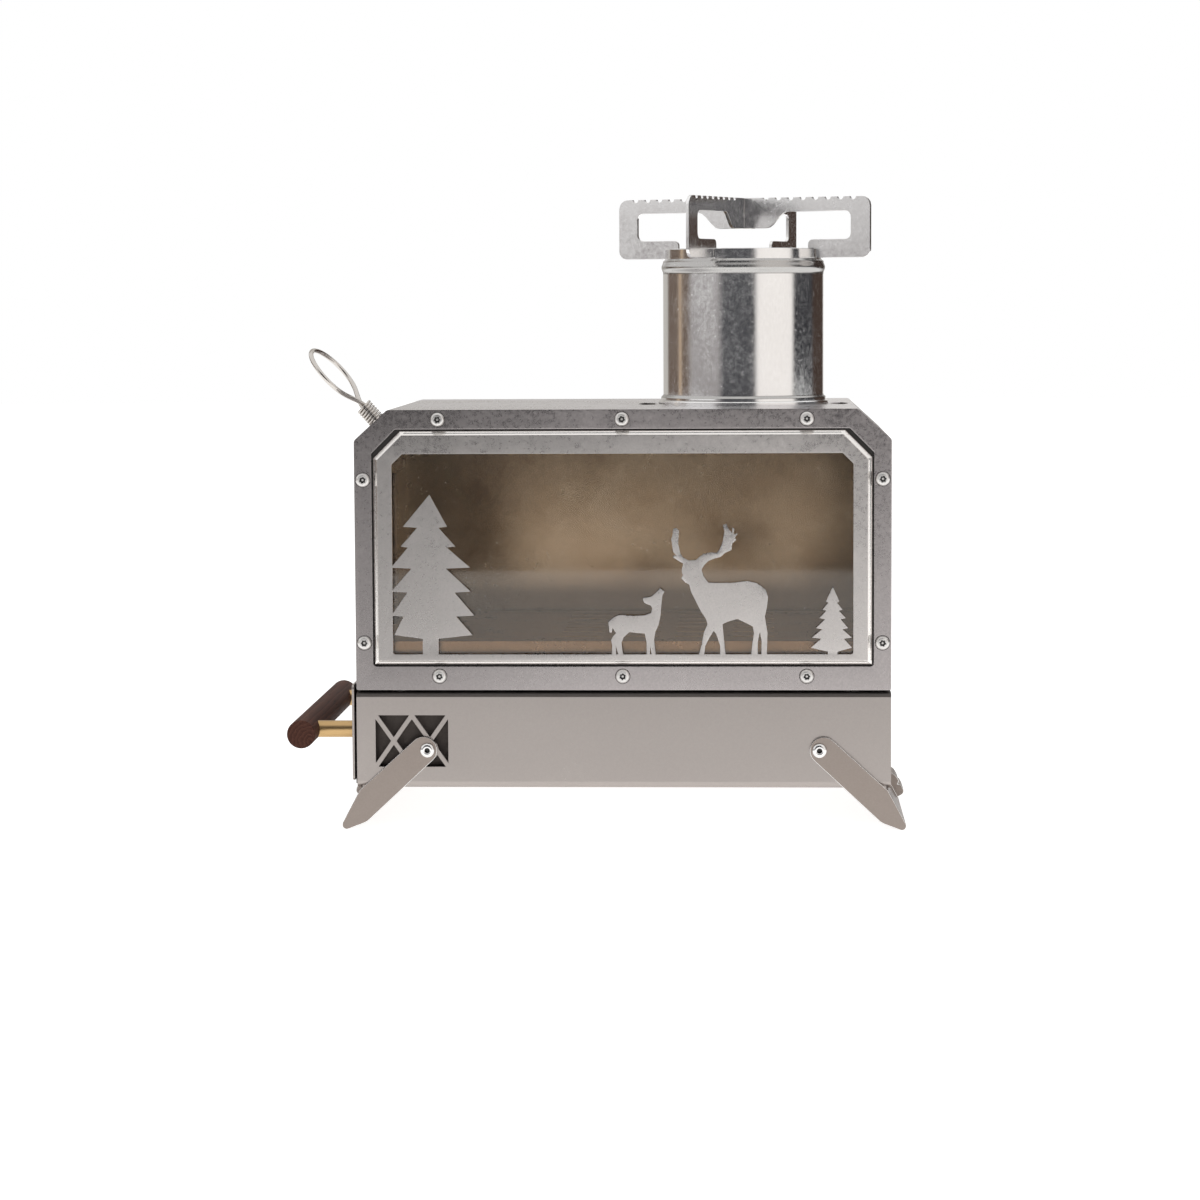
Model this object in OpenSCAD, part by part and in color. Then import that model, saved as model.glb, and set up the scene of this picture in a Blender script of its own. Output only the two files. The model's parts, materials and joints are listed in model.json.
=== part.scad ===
// Small folding-leg wood stove for a tent: a glazed firebox on a shallow base that holds an ash drawer,
// a plug-on flue pipe over the rear right half, and a two-plate pot stand that drops into the pipe's rim.
// +X is the stove's right seen from the glass side, +Y is its back, +Z is up. Millimetres.

/* [Firebox] */
// Width of the firebox and of the base under it
body_w = 225; // [212:1:260]
// Depth from the front frame's face to the back panel's face
body_d = 150; // [140:1:180]
// Height of the firebox
body_h = 118; // [112:1:140]
// Width taken by each sloping top corner
corner_w = 14; // [12:0.5:18]
// Height taken by each sloping top corner
corner_h = 12.8; // [11:0.5:17]
// Thickness of the wrapped shell sheet
shell_t = 1; // [0.8:0.1:1.2]
// Thickness of the front frame and of the back panel
frame_t = 1.2; // [1:0.1:1.5]
// Height of the raised fire grate above the bottom of the firebox
grate_rise = 20.5; // [16:0.5:24]
// Thickness of the grate sheet
grate_t = 1; // [0.8:0.1:1.5]

/* [Window] */
// Width of the frame's opening at each side, from the frame's edge
band_side = 7.4; // [7:0.1:9]
// Width of the frame above its opening
band_top = 8.2; // [8:0.1:10]
// Width of the frame under its opening
band_bottom = 10.3; // [10:0.1:12]
// Size of the sloping corners of the frame's opening
opening_corner = 10; // [8:0.5:10.5]
// Gap between the frame's opening and the bezel
bezel_gap = 0.6; // [0.4:0.1:0.8]
// Size of the sloping corners of the bezel
bezel_corner = 12.4; // [11:0.2:13]
// How far the bezel stands proud of the frame
bezel_proud = 1.5; // [1.3:0.1:1.8]
// Thickness of the bezel sheet
bezel_t = 0.8; // [0.6:0.1:0.9]
// Width of the bezel's face at each side
bezel_side = 8; // [7:0.5:10]
// Width of the bezel's face above the glass
bezel_top = 9.6; // [8:0.2:12]
// Width of the bezel's face under the glass
bezel_bottom = 4.6; // [4:0.2:6]
// Size of the sloping corners of the window
window_corner = 4.4; // [3:0.2:6]
// Thickness of the glass
glass_t = 3; // [2.8:0.1:3.2]

/* [Base and drawer] */
// Height of the base's underside above the ground
ground_gap = 17.5; // [16:0.5:19]
// Height of the base
base_h = 40.5; // [38:0.5:46]
// Thickness of the base sheet
base_t = 1; // [0.8:0.1:1.2]
// Gap between the base and the firebox
body_gap = 1; // [0.8:0.1:1.5]
// Width of the air vent in the base's front wall
vent_w = 30.7; // [28:0.1:34]
// Height of the air vent
vent_h = 21.8; // [20:0.1:24]
// Width of the vent's diagonal struts
strut_w = 1.9; // [1.5:0.1:2.4]
// Length of the ash drawer
drawer_len = 214; // [180:1:216]
// Depth of the ash drawer's tray
drawer_h = 31; // [24:1:32]
// Thickness of the tray sheet
drawer_t = 0.8; // [0.6:0.1:1]
// Height of the drawer's front plate
front_plate_h = 40.7; // [39:0.1:42]
// Thickness of the drawer's front plate
front_plate_t = 1; // [0.8:0.1:1.2]
// Gap between the base's end and the drawer's front plate
plate_gap = 1; // [0.8:0.1:1.4]
// Radius of the wooden handle bar
dowel_r = 6; // [5:0.5:7]
// Length of the wooden handle bar
dowel_len = 154; // [130:1:160]
// Clear space between the front plate and the handle bar
finger_gap = 15.5; // [13:0.1:20]
// Radius of the brass posts
post_r = 3.6; // [3:0.1:4]

/* [Legs] */
// Height of a leg's pivot above the base's underside
pivot_rise = 16.2; // [15.5:0.1:17]
// Distance of a leg's pivot from the base's end
pivot_inset = 30; // [29:0.5:32]
// Angle of a standing leg's cross plate above the ground
leg_angle = 62; // [60:0.5:64]
// Distance along the cross plate from the pivot's foot point to the plate's upper edge
leg_bend = 28.5; // [28:0.1:30]
// Thickness of the leg sheet
leg_t = 0.9; // [0.8:0.1:1.2]
// Gap between a folded leg and the base's underside
fold_gap = 0.4; // [0.3:0.1:0.8]
// Radius of the leg's eye
eye_r = 5.8; // [5.4:0.1:6.4]
// Radius of the leg's toe
toe_r = 1.9; // [1.5:0.1:2.5]
// Radius of the leg rivets
rivet_r = 1.5; // [1.3:0.1:1.8]

/* [Fuel door] */
// Thickness of the fuel door's sheet
door_t = 1; // [0.8:0.1:1.2]
// Height of the sill under the fuel door
sill_h = 3; // [2.8:0.1:3.6]
// Radius of the hinge pin
pin_r = 0.8; // [0.7:0.05:0.9]
// Outer radius of the hinge knuckles
knuckle_r = 1.6; // [1.5:0.05:1.7]
// Height of the fuel door's hinge
hinge_h = 60; // [48:1:61]
// Distance of the ring handle from the front frame's face
ring_set = 33; // [25:1:45]
// Radius of the pull ring, at the middle of its wire
ring_r = 13.4; // [11:0.2:15]
// Radius of the ring's wire
ring_wire = 1; // [0.8:0.1:1.1]
// Turn of the ring about its own stem
ring_turn = 15; // [0:1:45]
// Turns of the handle spring
spring_turns = 6; // [4:1:8]
// Radius of the spring's wire
spring_wire = 0.42; // [0.35:0.01:0.44]
// Rise of the spring for one turn
spring_pitch = 1.3; // [1.29:0.01:1.5]
// Radius of the spring at the middle of its wire
spring_r = 3.2; // [3.1:0.1:3.8]

/* [Flue and pot stand] */
// Outer radius of the flue pipe
pipe_r = 35; // [34:0.5:36]
// Wall of the flue pipe
pipe_wall = 0.8; // [0.6:0.1:1]
// Height of the pipe's rim above the firebox
rim_h = 67.4; // [60:0.2:80]
// Length of the pipe's narrow upper end
swage_len = 5.4; // [5.2:0.1:7]
// How much narrower the upper end is, on the radius
swage_in = 1; // [0.8:0.1:1.2]
// Height of the raised bead under the narrow end
bead_h = 5.4; // [4:0.2:6]
// How far the bead stands out from the pipe
bead_out = 0.7; // [0.5:0.1:1]
// Distance of the pipe's axis right of the middle of the firebox
pipe_x = 50.5; // [30:0.5:50.5]
// Length of each pot stand plate
stand_len = 119; // [112:1:130]
// Height of the pot stand above the pipe's rim
stand_rise = 22; // [21:0.1:25]
// How far the pot stand's arms hang below the rim
stand_hang = 4.2; // [4:0.1:4.6]
// Thickness of the pot stand plates
stand_t = 1.5; // [1.2:0.1:1.8]
// Turn of the pot stand about the pipe
stand_turn = -23; // [-45:1:0]

/* [Hidden] */

$fn = 64;
slop = 0.01;            // cutters run this far past the face they cut
run_fit = 0.05;         // radial clearance of a pin that turns
touch_gap = 0.3;        // gap between curved faces that nearly touch
slide_gap = 0.3;        // gap beside sheets that slide

// Heights of the main faces
base_z0 = ground_gap;
base_z1 = base_z0 + base_h;
body_z0 = base_z1 + body_gap;
body_z1 = body_z0 + body_h;
pivot_z = base_z0 + pivot_rise;
grate_z = body_z0 + grate_rise;
rim_z = body_z1 + rim_h;
front_y = -body_d / 2;
back_y = body_d / 2;
half_w = body_w / 2;

// Sheets stacked behind the front frame's face: frame, bezel flange, shell flange
rail_t = 1;
stack_t = frame_t + bezel_t + rail_t;
gasket_t = bezel_proud + frame_t + rail_t - glass_t;
rail_back_y = front_y + stack_t;
rear_rail_y = back_y - frame_t - rail_t;

// Screws that hold the front frame and the back panel
screw_r = 1.5;
screw_head_r = 3.2;
screw_head_h = 1.7;
screw_hole_r = screw_r + 0.15;
nut_af = 5;
nut_h = 2.4;
screw_edge = band_side / 2;
screw_x = body_w * 0.343;
side_screw_z = [body_z0 + body_h * 0.752, body_z0 + body_h * 0.17];
screw_spots = [
    for (x = [-screw_x, 0, screw_x]) [x, body_z1 - band_top / 2],
    for (x = [-screw_x, 0, screw_x]) [x, body_z0 + band_bottom * 0.58],
    for (side = [-1, 1], z = side_screw_z) [side * (half_w - screw_edge), z]];

// Everything is moved sideways so that the origin lies under the middle of the whole stove
leg_reach = pivot_rise + fold_gap + leg_t;
toe_along = (pivot_z + (leg_reach - toe_r) * cos(leg_angle) - toe_r) / sin(leg_angle);
tab_out = 4;
tab_corner_r = 2;
tab_w = 22;
tab_span = [leg_bend + 2, toe_along - 2];
pivot_x = half_w - pivot_inset;
plate_x = -half_w - plate_gap - front_plate_t;
dowel_x = plate_x - finger_gap - dowel_r;
left_end = dowel_x - dowel_r;
right_end = pivot_x + (leg_reach + tab_out - tab_corner_r) * sin(leg_angle)
    + (tab_span[1] - tab_corner_r) * cos(leg_angle) + tab_corner_r;
middle_x = (left_end + right_end) / 2;

// ---- helpers -------------------------------------------------------------------------------------

function unit(v) = v / norm(v);

// Points of a circular arc from one angle to another
function arc(c, r, a0, a1, n = 8) =
    [for (i = [0:n]) let(a = a0 + (a1 - a0) * i / n) c + r * [cos(a), sin(a)]];

function turn_between(a0, a1) = let(d = a1 - a0) d > 180 ? d - 360 : d < -180 ? d + 360 : d;

// Corner p between its neighbours a and b, rounded to radius r
function fillet(a, p, b, r, n = 5) =
    r <= 0 ? [p] :
    let(u = unit(a - p), v = unit(b - p), half = acos(u * v) / 2)
    let(c = p + unit(u + v) * (r / sin(half)), p0 = p + u * (r / tan(half)), p1 = p + v * (r / tan(half)))
    let(a0 = atan2(p0[1] - c[1], p0[0] - c[0]), a1 = atan2(p1[1] - c[1], p1[0] - c[0]))
    arc(c, r, a0, a0 + turn_between(a0, a1), n);

// Outline whose corner i has radius radii[i]
function rounded(pts, radii, n = 5) = let(m = len(pts))
    [for (i = [0:m - 1]) each fillet(pts[(i + m - 1) % m], pts[i], pts[(i + 1) % m], radii[i], n)];

// Box with two sloping top corners, counted from the bottom left
function slope_box(x0, x1, z0, z1, cw, ch) =
    [[x0, z0], [x1, z0], [x1, z1 - ch], [x1 - cw, z1], [x0 + cw, z1], [x0, z1 - ch]];

// The firebox outline, drawn in by a constant distance
function body_outline(inset = 0) =
    let(run = norm([corner_w, corner_h]), n = [corner_h, corner_w] / run)
    let(k = n * [half_w, body_z1 - corner_h] - inset, x1 = half_w - inset, z1 = body_z1 - inset)
    let(cw = x1 - (k - n[1] * z1) / n[0], ch = z1 - (k - n[0] * x1) / n[1])
    slope_box(-x1, x1, body_z0 + inset, z1, cw, ch);

bend_r = 2.2;
function bent_body(inset = 0) =
    let(r = max(bend_r - inset, 0.8)) rounded(body_outline(inset), [0.8, 0.8, r, r, r, r], 4);

function opening_outline(inset, corner) = rounded(slope_box(-half_w + band_side + inset,
    half_w - band_side - inset, body_z0 + band_bottom + inset, body_z1 - band_top - inset, corner, corner),
    [1.5, 1.5, 1, 1, 1, 1], 3);
function frame_opening() = opening_outline(0, opening_corner);
function bezel_outline(inset = 0) = opening_outline(bezel_gap + inset, bezel_corner);
function window_outline(grow = 0) = let(in = band_side + bezel_gap + bezel_side - grow)
    rounded(slope_box(-half_w + in, half_w - in, body_z0 + band_bottom + bezel_gap + bezel_bottom - grow,
    body_z1 - band_top - bezel_gap - bezel_top + grow, window_corner, window_corner),
    [1, 1, 0.6, 0.6, 0.6, 0.6], 3);

// Sheet standing across the depth: its outline is drawn in X and Z, and it fills y0 to y0 + t
module wall_xz(y0, t) translate([0, y0 + t, 0]) rotate([90, 0, 0]) linear_extrude(t) children();

// Sheet standing across the width: its outline is drawn in Y and Z, and it fills x0 to x0 + t
module wall_yz(x0, t) translate([x0, 0, 0]) rotate([90, 0, 90]) linear_extrude(t) children();

module rod_y(x, z, r, y0, y1, fn = 32)
    translate([x, y1, z]) rotate([90, 0, 0]) cylinder(r = r, h = y1 - y0, $fn = fn);
module rod_x(y, z, r, x0, x1, fn = 32)
    translate([x0, y, z]) rotate([0, 90, 0]) cylinder(r = r, h = x1 - x0, $fn = fn);
module span(lo, hi) translate(lo) cube(hi - lo);
module both_sides(on = [0, 1]) for (k = on) mirror([0, k, 0]) children();
module placed() translate([-middle_x, 0, 0]) children();

module screw_holes(y0, y1, r) for (s = screw_spots) rod_y(s[0], s[1], r, y0, y1);

// Button head screw along +Z with its head's flat face at z = 0 and its shank below
module button_screw(r, head_r, head_h, len, recess = 1.25) difference() {
    union() {
        rotate_extrude($fn = 40) polygon([[0, 0], [head_r, 0], [head_r, head_h * 0.25],
            for (a = [20:20:80]) [head_r * cos(a), head_h * (0.25 + 0.75 * sin(a))], [0, head_h]]);
        translate([0, 0, -len]) cylinder(r = r, h = len + slop, $fn = 32);
    }
    translate([0, 0, head_h * 0.35]) cylinder(r = recess, h = head_h, $fn = 6);
}
module hex_nut(r, af, h) difference() {
    rotate([0, 0, 30]) cylinder(r = af / sqrt(3), h = h, $fn = 6);
    translate([0, 0, -slop]) cylinder(r = r, h = h + 2 * slop, $fn = 32);
}

// ---- firebox -------------------------------------------------------------------------------------

sill_z = body_z0 + sill_h;
door_front_gap = 1.3;   // the sloping corner swings a little forwards before it goes out
door_y0 = rail_back_y + door_front_gap;
door_y1 = rear_rail_y - 0.5;
spigot_r = pipe_r - pipe_wall - touch_gap;
slot_mid_r = 42.3;
slot_half_w = 3.5;
slot_sweep = 20;
ash_hole_x = 84;
ash_hole_y = 46;
base_screw_x = 95;
base_screw_y = body_d / 2 - 12.5;

// Curved slot beside the flue, cut through the top sheet
module arc_slot(mid) {
    rotate([0, 0, mid]) linear_extrude(3 * shell_t, center = true) polygon(concat(
        arc([0, 0], slot_mid_r + slot_half_w, -slot_sweep, slot_sweep, 10),
        arc([0, 0], slot_mid_r - slot_half_w, slot_sweep, -slot_sweep, 10)));
}

module firebox_shell() color("gainsboro") placed() difference() {
    union() {
        wall_xz(rail_back_y - rail_t, rear_rail_y - rail_back_y + 2 * rail_t) difference() {
            polygon(bent_body(0));
            polygon(bent_body(shell_t));
        }
        for (y = [rail_back_y - rail_t, rear_rail_y]) wall_xz(y, rail_t) difference() {
            polygon(bent_body(shell_t - slop));
            polygon(frame_opening());
        }
    }
    wall_xz(rail_back_y, rear_rail_y - rail_back_y) polygon([[-half_w - 1, sill_z],
        [-half_w + shell_t + slop, sill_z], [-half_w + shell_t + slop, body_z1 - corner_h - shell_t],
        [-half_w + corner_w + 0.5, body_z1 - shell_t - 2], [-half_w + corner_w + 0.5, body_z1 + 1],
        [-half_w - 1, body_z1 + 1]]);
    translate([pipe_x, 0, body_z1 - 3]) cylinder(r = spigot_r, h = 6);
    for (mid = [0, 180]) translate([pipe_x, 0, body_z1]) arc_slot(mid);
    span([-ash_hole_x, -ash_hole_y, body_z0 - 1], [ash_hole_x, ash_hole_y, body_z0 + shell_t + 1]);
    for (x = [-base_screw_x, base_screw_x], y = [-base_screw_y, base_screw_y])
        translate([x, y, body_z0 - 1]) cylinder(r = screw_hole_r, h = shell_t + 2, $fn = 32);
    screw_holes(rail_back_y - rail_t - 1, rail_back_y + 1, screw_hole_r);
    screw_holes(rear_rail_y - 1, rear_rail_y + rail_t + 1, screw_hole_r);
}

module front_frame() color("lightslategray") placed() difference() {
    wall_xz(front_y, frame_t) difference() {
        polygon(bent_body(0));
        polygon(frame_opening());
    }
    screw_holes(front_y - 1, front_y + frame_t + 1, screw_hole_r);
}

module back_panel() color("lightslategray") placed() difference() {
    wall_xz(back_y - frame_t, frame_t) polygon(bent_body(0));
    screw_holes(back_y - frame_t - 1, back_y + 1, screw_hole_r);
    hinge_screw_holes(hinge_hole_r);
}

// ---- window --------------------------------------------------------------------------------------

// Flat evergreen on the window's lower edge. A tier is [height, reach left, reach right, notch left,
// notch right], counted from the lowest, and everything above the last tier is the tip.
module tree(x, height, trunk_w, tiers) {
    last = len(tiers) - 1;
    half = trunk_w / 2;
    trunk_top = tiers[0][0] - 1.6;
    right = [for (i = [0:last]) each i == last ? [[tiers[i][2], tiers[i][0]]] :
        [[tiers[i][2], tiers[i][0]], [tiers[i][4], tiers[i + 1][0] - 0.4]]];
    left = [for (i = [last:-1:0]) each i == last ? [[-tiers[i][1], tiers[i][0]]] :
        [[-tiers[i][3], tiers[i + 1][0] - 0.4], [-tiers[i][1], tiers[i][0]]]];
    translate([x, window_z0]) polygon(concat([[-half, -foot_sink], [half, -foot_sink], [half, trunk_top]],
        right, [[0, height]], left, [[-half, trunk_top]]));
}
foot_sink = 0.5;
tall_tree = [[8, 15.4, 17.8, 11.5, 11], [16.2, 16.6, 18.6, 9.8, 10.4], [26.3, 16.6, 17.2, 8, 6.8],
    [36.4, 16.6, 17, 9.4, 7.2], [45.3, 12.4, 10.8, 5.4, 3.8], [53.6, 11.4, 7.4]];
small_tree = [[2.6, 9.4, 8.2, 5, 4.8], [6.8, 9, 8.2, 4.6, 4.2], [10.8, 7.2, 6.6, 3.4, 3.4],
    [15, 5.8, 5.6, 2.8, 2.6], [18.6, 4.4, 4.2, 2, 1.8], [22, 3, 2.8]];

// A fawn and a stag, plain flat figures in units of half a millimetre or so, feet at z = 0
figure_unit = 0.536;
module fawn(x) translate([x, window_z0]) scale(figure_unit) polygon([[-18, -1], [-17.5, 7], [-18.5, 11],
    [-17, 14], [-14.5, 16.5], [-17, 20.5], [-17.7, 16.7], [-19.5, 17], [-20.5, 25], [-17, 28.5], [-12, 31],
    [-1, 30.2], [8, 30.6], [13, 32.5], [14, 36], [13, 38], [8, 40], [6.5, 43], [7.2, 44.4], [13, 45.2],
    [17, 48.5], [20, 52], [23.8, 49.4], [22, 46], [21.2, 39], [20.5, 30], [19, 23], [16.5, 17.5], [15.5, 11],
    [17, -1], [13.5, -1], [12.4, 5.5], [12, -1], [9.3, -1], [9.5, 9], [8, 16], [2, 16.5], [-4, 17.2],
    [-8.5, 13], [-10, 9], [-9.5, 4],
    [-8.5, -1], [-12.5, -1], [-14.4, 5.5], [-14.2, -1]]);
module stag(x) translate([x, window_z0]) scale(figure_unit) polygon([[-26.5, -1], [-24, 7.5], [-22.5, 16.5],
    [-19.5, 23.5], [-20.5, 27.5], [-24.5, 33.5], [-29, 42.5], [-32, 48.5], [-33.5, 54.5], [-36.5, 56],
    [-39.8, 59.5], [-38.5, 62], [-39.6, 65], [-38.2, 71], [-41, 72.5], [-46.5, 76], [-45.5, 77.4], [-43.5, 77],
    [-46, 80], [-47.5, 90], [-46.5, 93.5], [-46, 98], [-43.5, 98.8], [-41.3, 97], [-42, 86.5], [-40.5, 79.5],
    [-38.5, 76], [-34, 73.5], [-28, 74], [-25.5, 76.5], [-22, 78.7], [-15.5, 80], [-12.5, 79.3], [-10, 82],
    [-7.5, 87.5], [-6, 96.5], [-7.5, 101], [-4.5, 102], [-2.5, 97.5], [0, 95], [0, 99.5], [1.8, 98], [1.2, 94],
    [4.5, 94.5], [2, 91], [3.5, 89.5], [0, 86.5], [-0.5, 81.5], [-6, 79], [-9, 76], [-13.5, 75], [-18.5, 73],
    [-21.5, 70], [-23.8, 66.5], [-22.5, 61.5], [-18.5, 56.2], [-11, 56], [0, 56], [12, 57.5], [20, 55.5],
    [26, 50.5], [28, 44.5], [27, 36.5], [25.5, 29.5], [26.5, 23.5], [27.5, 16.5], [27, -1], [22.5, -1],
    [22.8, 10.5], [21.5, 16.5], [20, 10], [20, -1], [14.5, -1], [15.5, 7.5], [16.8, 16.5], [16, 21.5],
    [11.5, 24], [4, 27.5], [-3, 25.5], [-7.5, 23.5], [-6.5, 12.5], [-5, -1], [-9.8, -1],
    [-9.5, 6.5], [-12.5, 15.5],
    [-14.5, 18], [-18, 12.5], [-21, 6.5], [-22, -1]]);

window_z0 = body_z0 + band_bottom + bezel_gap + bezel_bottom;

module window_bezel() color("lightgray") placed() difference() {
    union() {
        wall_xz(front_y - bezel_proud, bezel_t) {
            difference() {
                polygon(bezel_outline());
                polygon(window_outline());
            }
            tree(-half_w + 31.8, 67.2, 6.8, tall_tree);
            tree(half_w - 24.5, 28.5, 4.2, small_tree);
            fawn(5);
            stag(46);
        }
        wall_xz(front_y - bezel_proud, bezel_proud + frame_t + slop) difference() {
            polygon(bezel_outline());
            polygon(bezel_outline(bezel_t));
        }
        wall_xz(front_y + frame_t, bezel_t) difference() {
            polygon(bent_body(1.6));
            polygon(bezel_outline(bezel_t));
        }
    }
    screw_holes(front_y - 1, front_y + frame_t + bezel_t + 1, screw_hole_r);
}

module glass_gasket() color("dimgray") placed()
    wall_xz(front_y - bezel_proud + bezel_t, gasket_t) difference() {
        polygon(bezel_outline(bezel_t + 0.4));
        polygon(window_outline(0.8));
    }

module glass_pane() color("saddlebrown", 0.45) placed()
    wall_xz(rail_back_y - glass_t, glass_t) polygon(bezel_outline(bezel_t + 0.4));

clip_w = 9;
clip_t = 1;
clip_lap = 4;
clip_rivet_r = 1;
clip_spots = [
    for (x = [-screw_x / 2, screw_x / 2]) [x, body_z1 - band_top, 0],
    for (x = [-screw_x / 2, screw_x / 2]) [x, body_z0 + band_bottom, 180],
    [half_w - band_side, body_z0 + body_h / 2, -90], [-half_w + band_side, body_z0 + body_h / 2, 90]];

module glass_clips() color("silver") placed() for (s = clip_spots) difference() {
    translate([s[0], rail_back_y, s[1]]) rotate([0, -s[2], 0])
        span([-clip_w / 2, 0, -clip_lap], [clip_w / 2, clip_t, clip_lap]);
    clip_rivet_at(s, clip_rivet_r, 4);
}
module clip_rivet_at(s, r, len) translate([s[0], rail_back_y, s[1]]) rotate([0, -s[2], 0])
    rod_y(0, clip_lap / 2, r, -len, len, 24);
module clip_rivets() color("silver") placed() for (s = clip_spots)
    translate([s[0], rail_back_y, s[1]]) rotate([0, -s[2], 0]) union() {
        rod_y(0, clip_lap / 2, clip_rivet_r - run_fit, clip_t - 0.5, clip_t + 0.1, 24);
        rod_y(0, clip_lap / 2, clip_rivet_r + 0.6, clip_t, clip_t + 0.7, 24);
    }

screw_len = stack_t + nut_h + 1.2;
rear_screw_len = frame_t + rail_t + nut_h + 1.2;

module front_screws() color("whitesmoke") placed() for (s = screw_spots)
    translate([s[0], front_y, s[1]]) rotate([90, 0, 0])
        button_screw(screw_r, screw_head_r, screw_head_h, screw_len);
module front_nuts() color("silver") placed() for (s = screw_spots)
    translate([s[0], rail_back_y + nut_h, s[1]]) rotate([90, 0, 0]) hex_nut(screw_r + run_fit, nut_af, nut_h);
module back_screws() color("whitesmoke") placed() for (s = screw_spots)
    translate([s[0], back_y, s[1]]) rotate([-90, 0, 0])
        button_screw(screw_r, screw_head_r, screw_head_h, rear_screw_len);
module back_nuts() color("silver") placed() for (s = screw_spots)
    translate([s[0], rear_rail_y - nut_h, s[1]]) rotate([-90, 0, 0]) hex_nut(screw_r + run_fit, nut_af, nut_h);

// ---- grate and flue ------------------------------------------------------------------------------

grate_x = half_w - band_side - 0.6;
grate_front_y = rail_back_y + clip_t + 1;
grate_back_y = rear_rail_y - nut_h - 2;
slot_w = 4;
slot_len = 18;
slot_pitch = 24.5;
slot_rows = 6;
slot_cols = 4;
slot_shift_x = 18;
row_pitch = (grate_back_y - grate_front_y) / (slot_rows + 0.9);

// Raised grate: a channel turned over, its two lips standing on the firebox floor
module fire_grate() color("peru") placed() difference() {
    union() {
        span([-grate_x, grate_front_y, grate_z - grate_t], [grate_x, grate_back_y, grate_z]);
        for (y = [grate_front_y, grate_back_y - grate_t])
            span([-grate_x, y, body_z0 + shell_t], [grate_x, y + grate_t, grate_z]);
    }
    for (c = [0:slot_cols - 1], r = [0:slot_rows - 1])
        translate([slot_shift_x + (c - (slot_cols - 1) / 2) * slot_pitch,
            (r - (slot_rows - 1) / 2) * row_pitch])
            span([-slot_len / 2, -slot_w / 2, grate_z - 2 * grate_t], [slot_len / 2, slot_w / 2, grate_z + 1]);
    for (x = [-screw_x, 0, screw_x], y = [grate_front_y, grate_back_y])
        translate([x, y, 0]) span([-4, -grate_t - 1, body_z0], [4, grate_t + 1, body_z0 + band_bottom]);
}

collar_base_r = pipe_r + 2.2;
collar_flange_h = 1.7;
spigot_h = 9;
spigot_wall = 0.8;

module flue_doubler() color("silver") placed() translate([pipe_x, 0, body_z1 - shell_t - 1]) difference() {
    cylinder(r = slot_mid_r + slot_half_w + 1.2, h = 1);
    translate([0, 0, -1]) cylinder(r = spigot_r - spigot_wall, h = 3);
}

module flue_collar() color("silver") placed() translate([pipe_x, 0, body_z1]) rotate_extrude($fn = 96)
    polygon([[spigot_r - spigot_wall, -shell_t], [spigot_r - run_fit, -shell_t], [spigot_r - run_fit, 0],
        [collar_base_r, 0], [collar_base_r, collar_flange_h - 0.4], [collar_base_r - 0.4, collar_flange_h],
        [spigot_r, collar_flange_h], [spigot_r, spigot_h], [spigot_r - spigot_wall, spigot_h]]);

pipe_z0 = body_z1 + collar_flange_h;
flare_h = 2.2;
flare_out = 1;

// Outer line of the pipe from its foot to its rim, and the same line one wall further in
function pipe_line(off) = [
    [pipe_r + flare_out - off, pipe_z0], [pipe_r + flare_out - off, pipe_z0 + flare_h * 0.6],
    [pipe_r - off, pipe_z0 + flare_h], [pipe_r - off, rim_z - swage_len - bead_h],
    for (a = [30:30:150])
        [pipe_r - off + bead_out * sin(a), rim_z - swage_len - bead_h * (1 + cos(a)) / 2],
    [pipe_r - off, rim_z - swage_len], [pipe_r - swage_in - off, rim_z - swage_len + 0.8],
    [pipe_r - swage_in - off, rim_z]];
module flue_pipe() color("silver") placed() translate([pipe_x, 0, 0]) rotate_extrude($fn = 96)
    polygon(concat(pipe_line(0), [for (i = [len(pipe_line(0)) - 1:-1:0]) pipe_line(pipe_wall)[i]]));

// ---- pot stand -----------------------------------------------------------------------------------

stand_z1 = rim_z + stand_rise;
stand_z0 = rim_z - stand_hang;
top_band = 6.2;
outer_bar = 9;
rail_top_z = stand_z1 - 18.2;
web_bottom = 13.2;
web_half = 11.3;
web_flare = 18.6;
arm_in_r = pipe_r - swage_in - pipe_wall - 2.5;
slot_in_r = pipe_r - swage_in - pipe_wall - touch_gap;
slot_out_r = pipe_r - swage_in + touch_gap;
notch_r = 1.3;
notch_pitch = 5.8;
notch_start = 8;
cross_gap = 0.15;

// Right half of a plate's outline, in distance from the middle and height, each corner with its radius
function stand_half() = concat(
    [[stand_len / 2, stand_z1, 4], [stand_len / 2, stand_z0, 3.5], [slot_out_r, stand_z0, 0.4],
     [slot_out_r, rim_z, 0], [slot_in_r, rim_z, 0], [slot_in_r, stand_z0, 0.4], [arm_in_r, stand_z0, 0.4],
     [arm_in_r, rail_top_z, 2.2], [stand_len / 2 - outer_bar, rail_top_z, 2.5],
     [stand_len / 2 - outer_bar, stand_z1 - top_band, 2.5]],
    [for (k = [0:1 / 6:1]) [web_flare + 2.4 - (web_flare + 2.4 - web_half) * k,
        stand_z1 - top_band - (web_bottom - top_band) * (1 - cos(180 * k)) / 2, 0]]);
function stand_outline() = let(right = stand_half(), n = len(right))
    concat(right, [for (i = [n - 1:-1:0]) [-right[i][0], right[i][1], right[i][2]]]);

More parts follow.
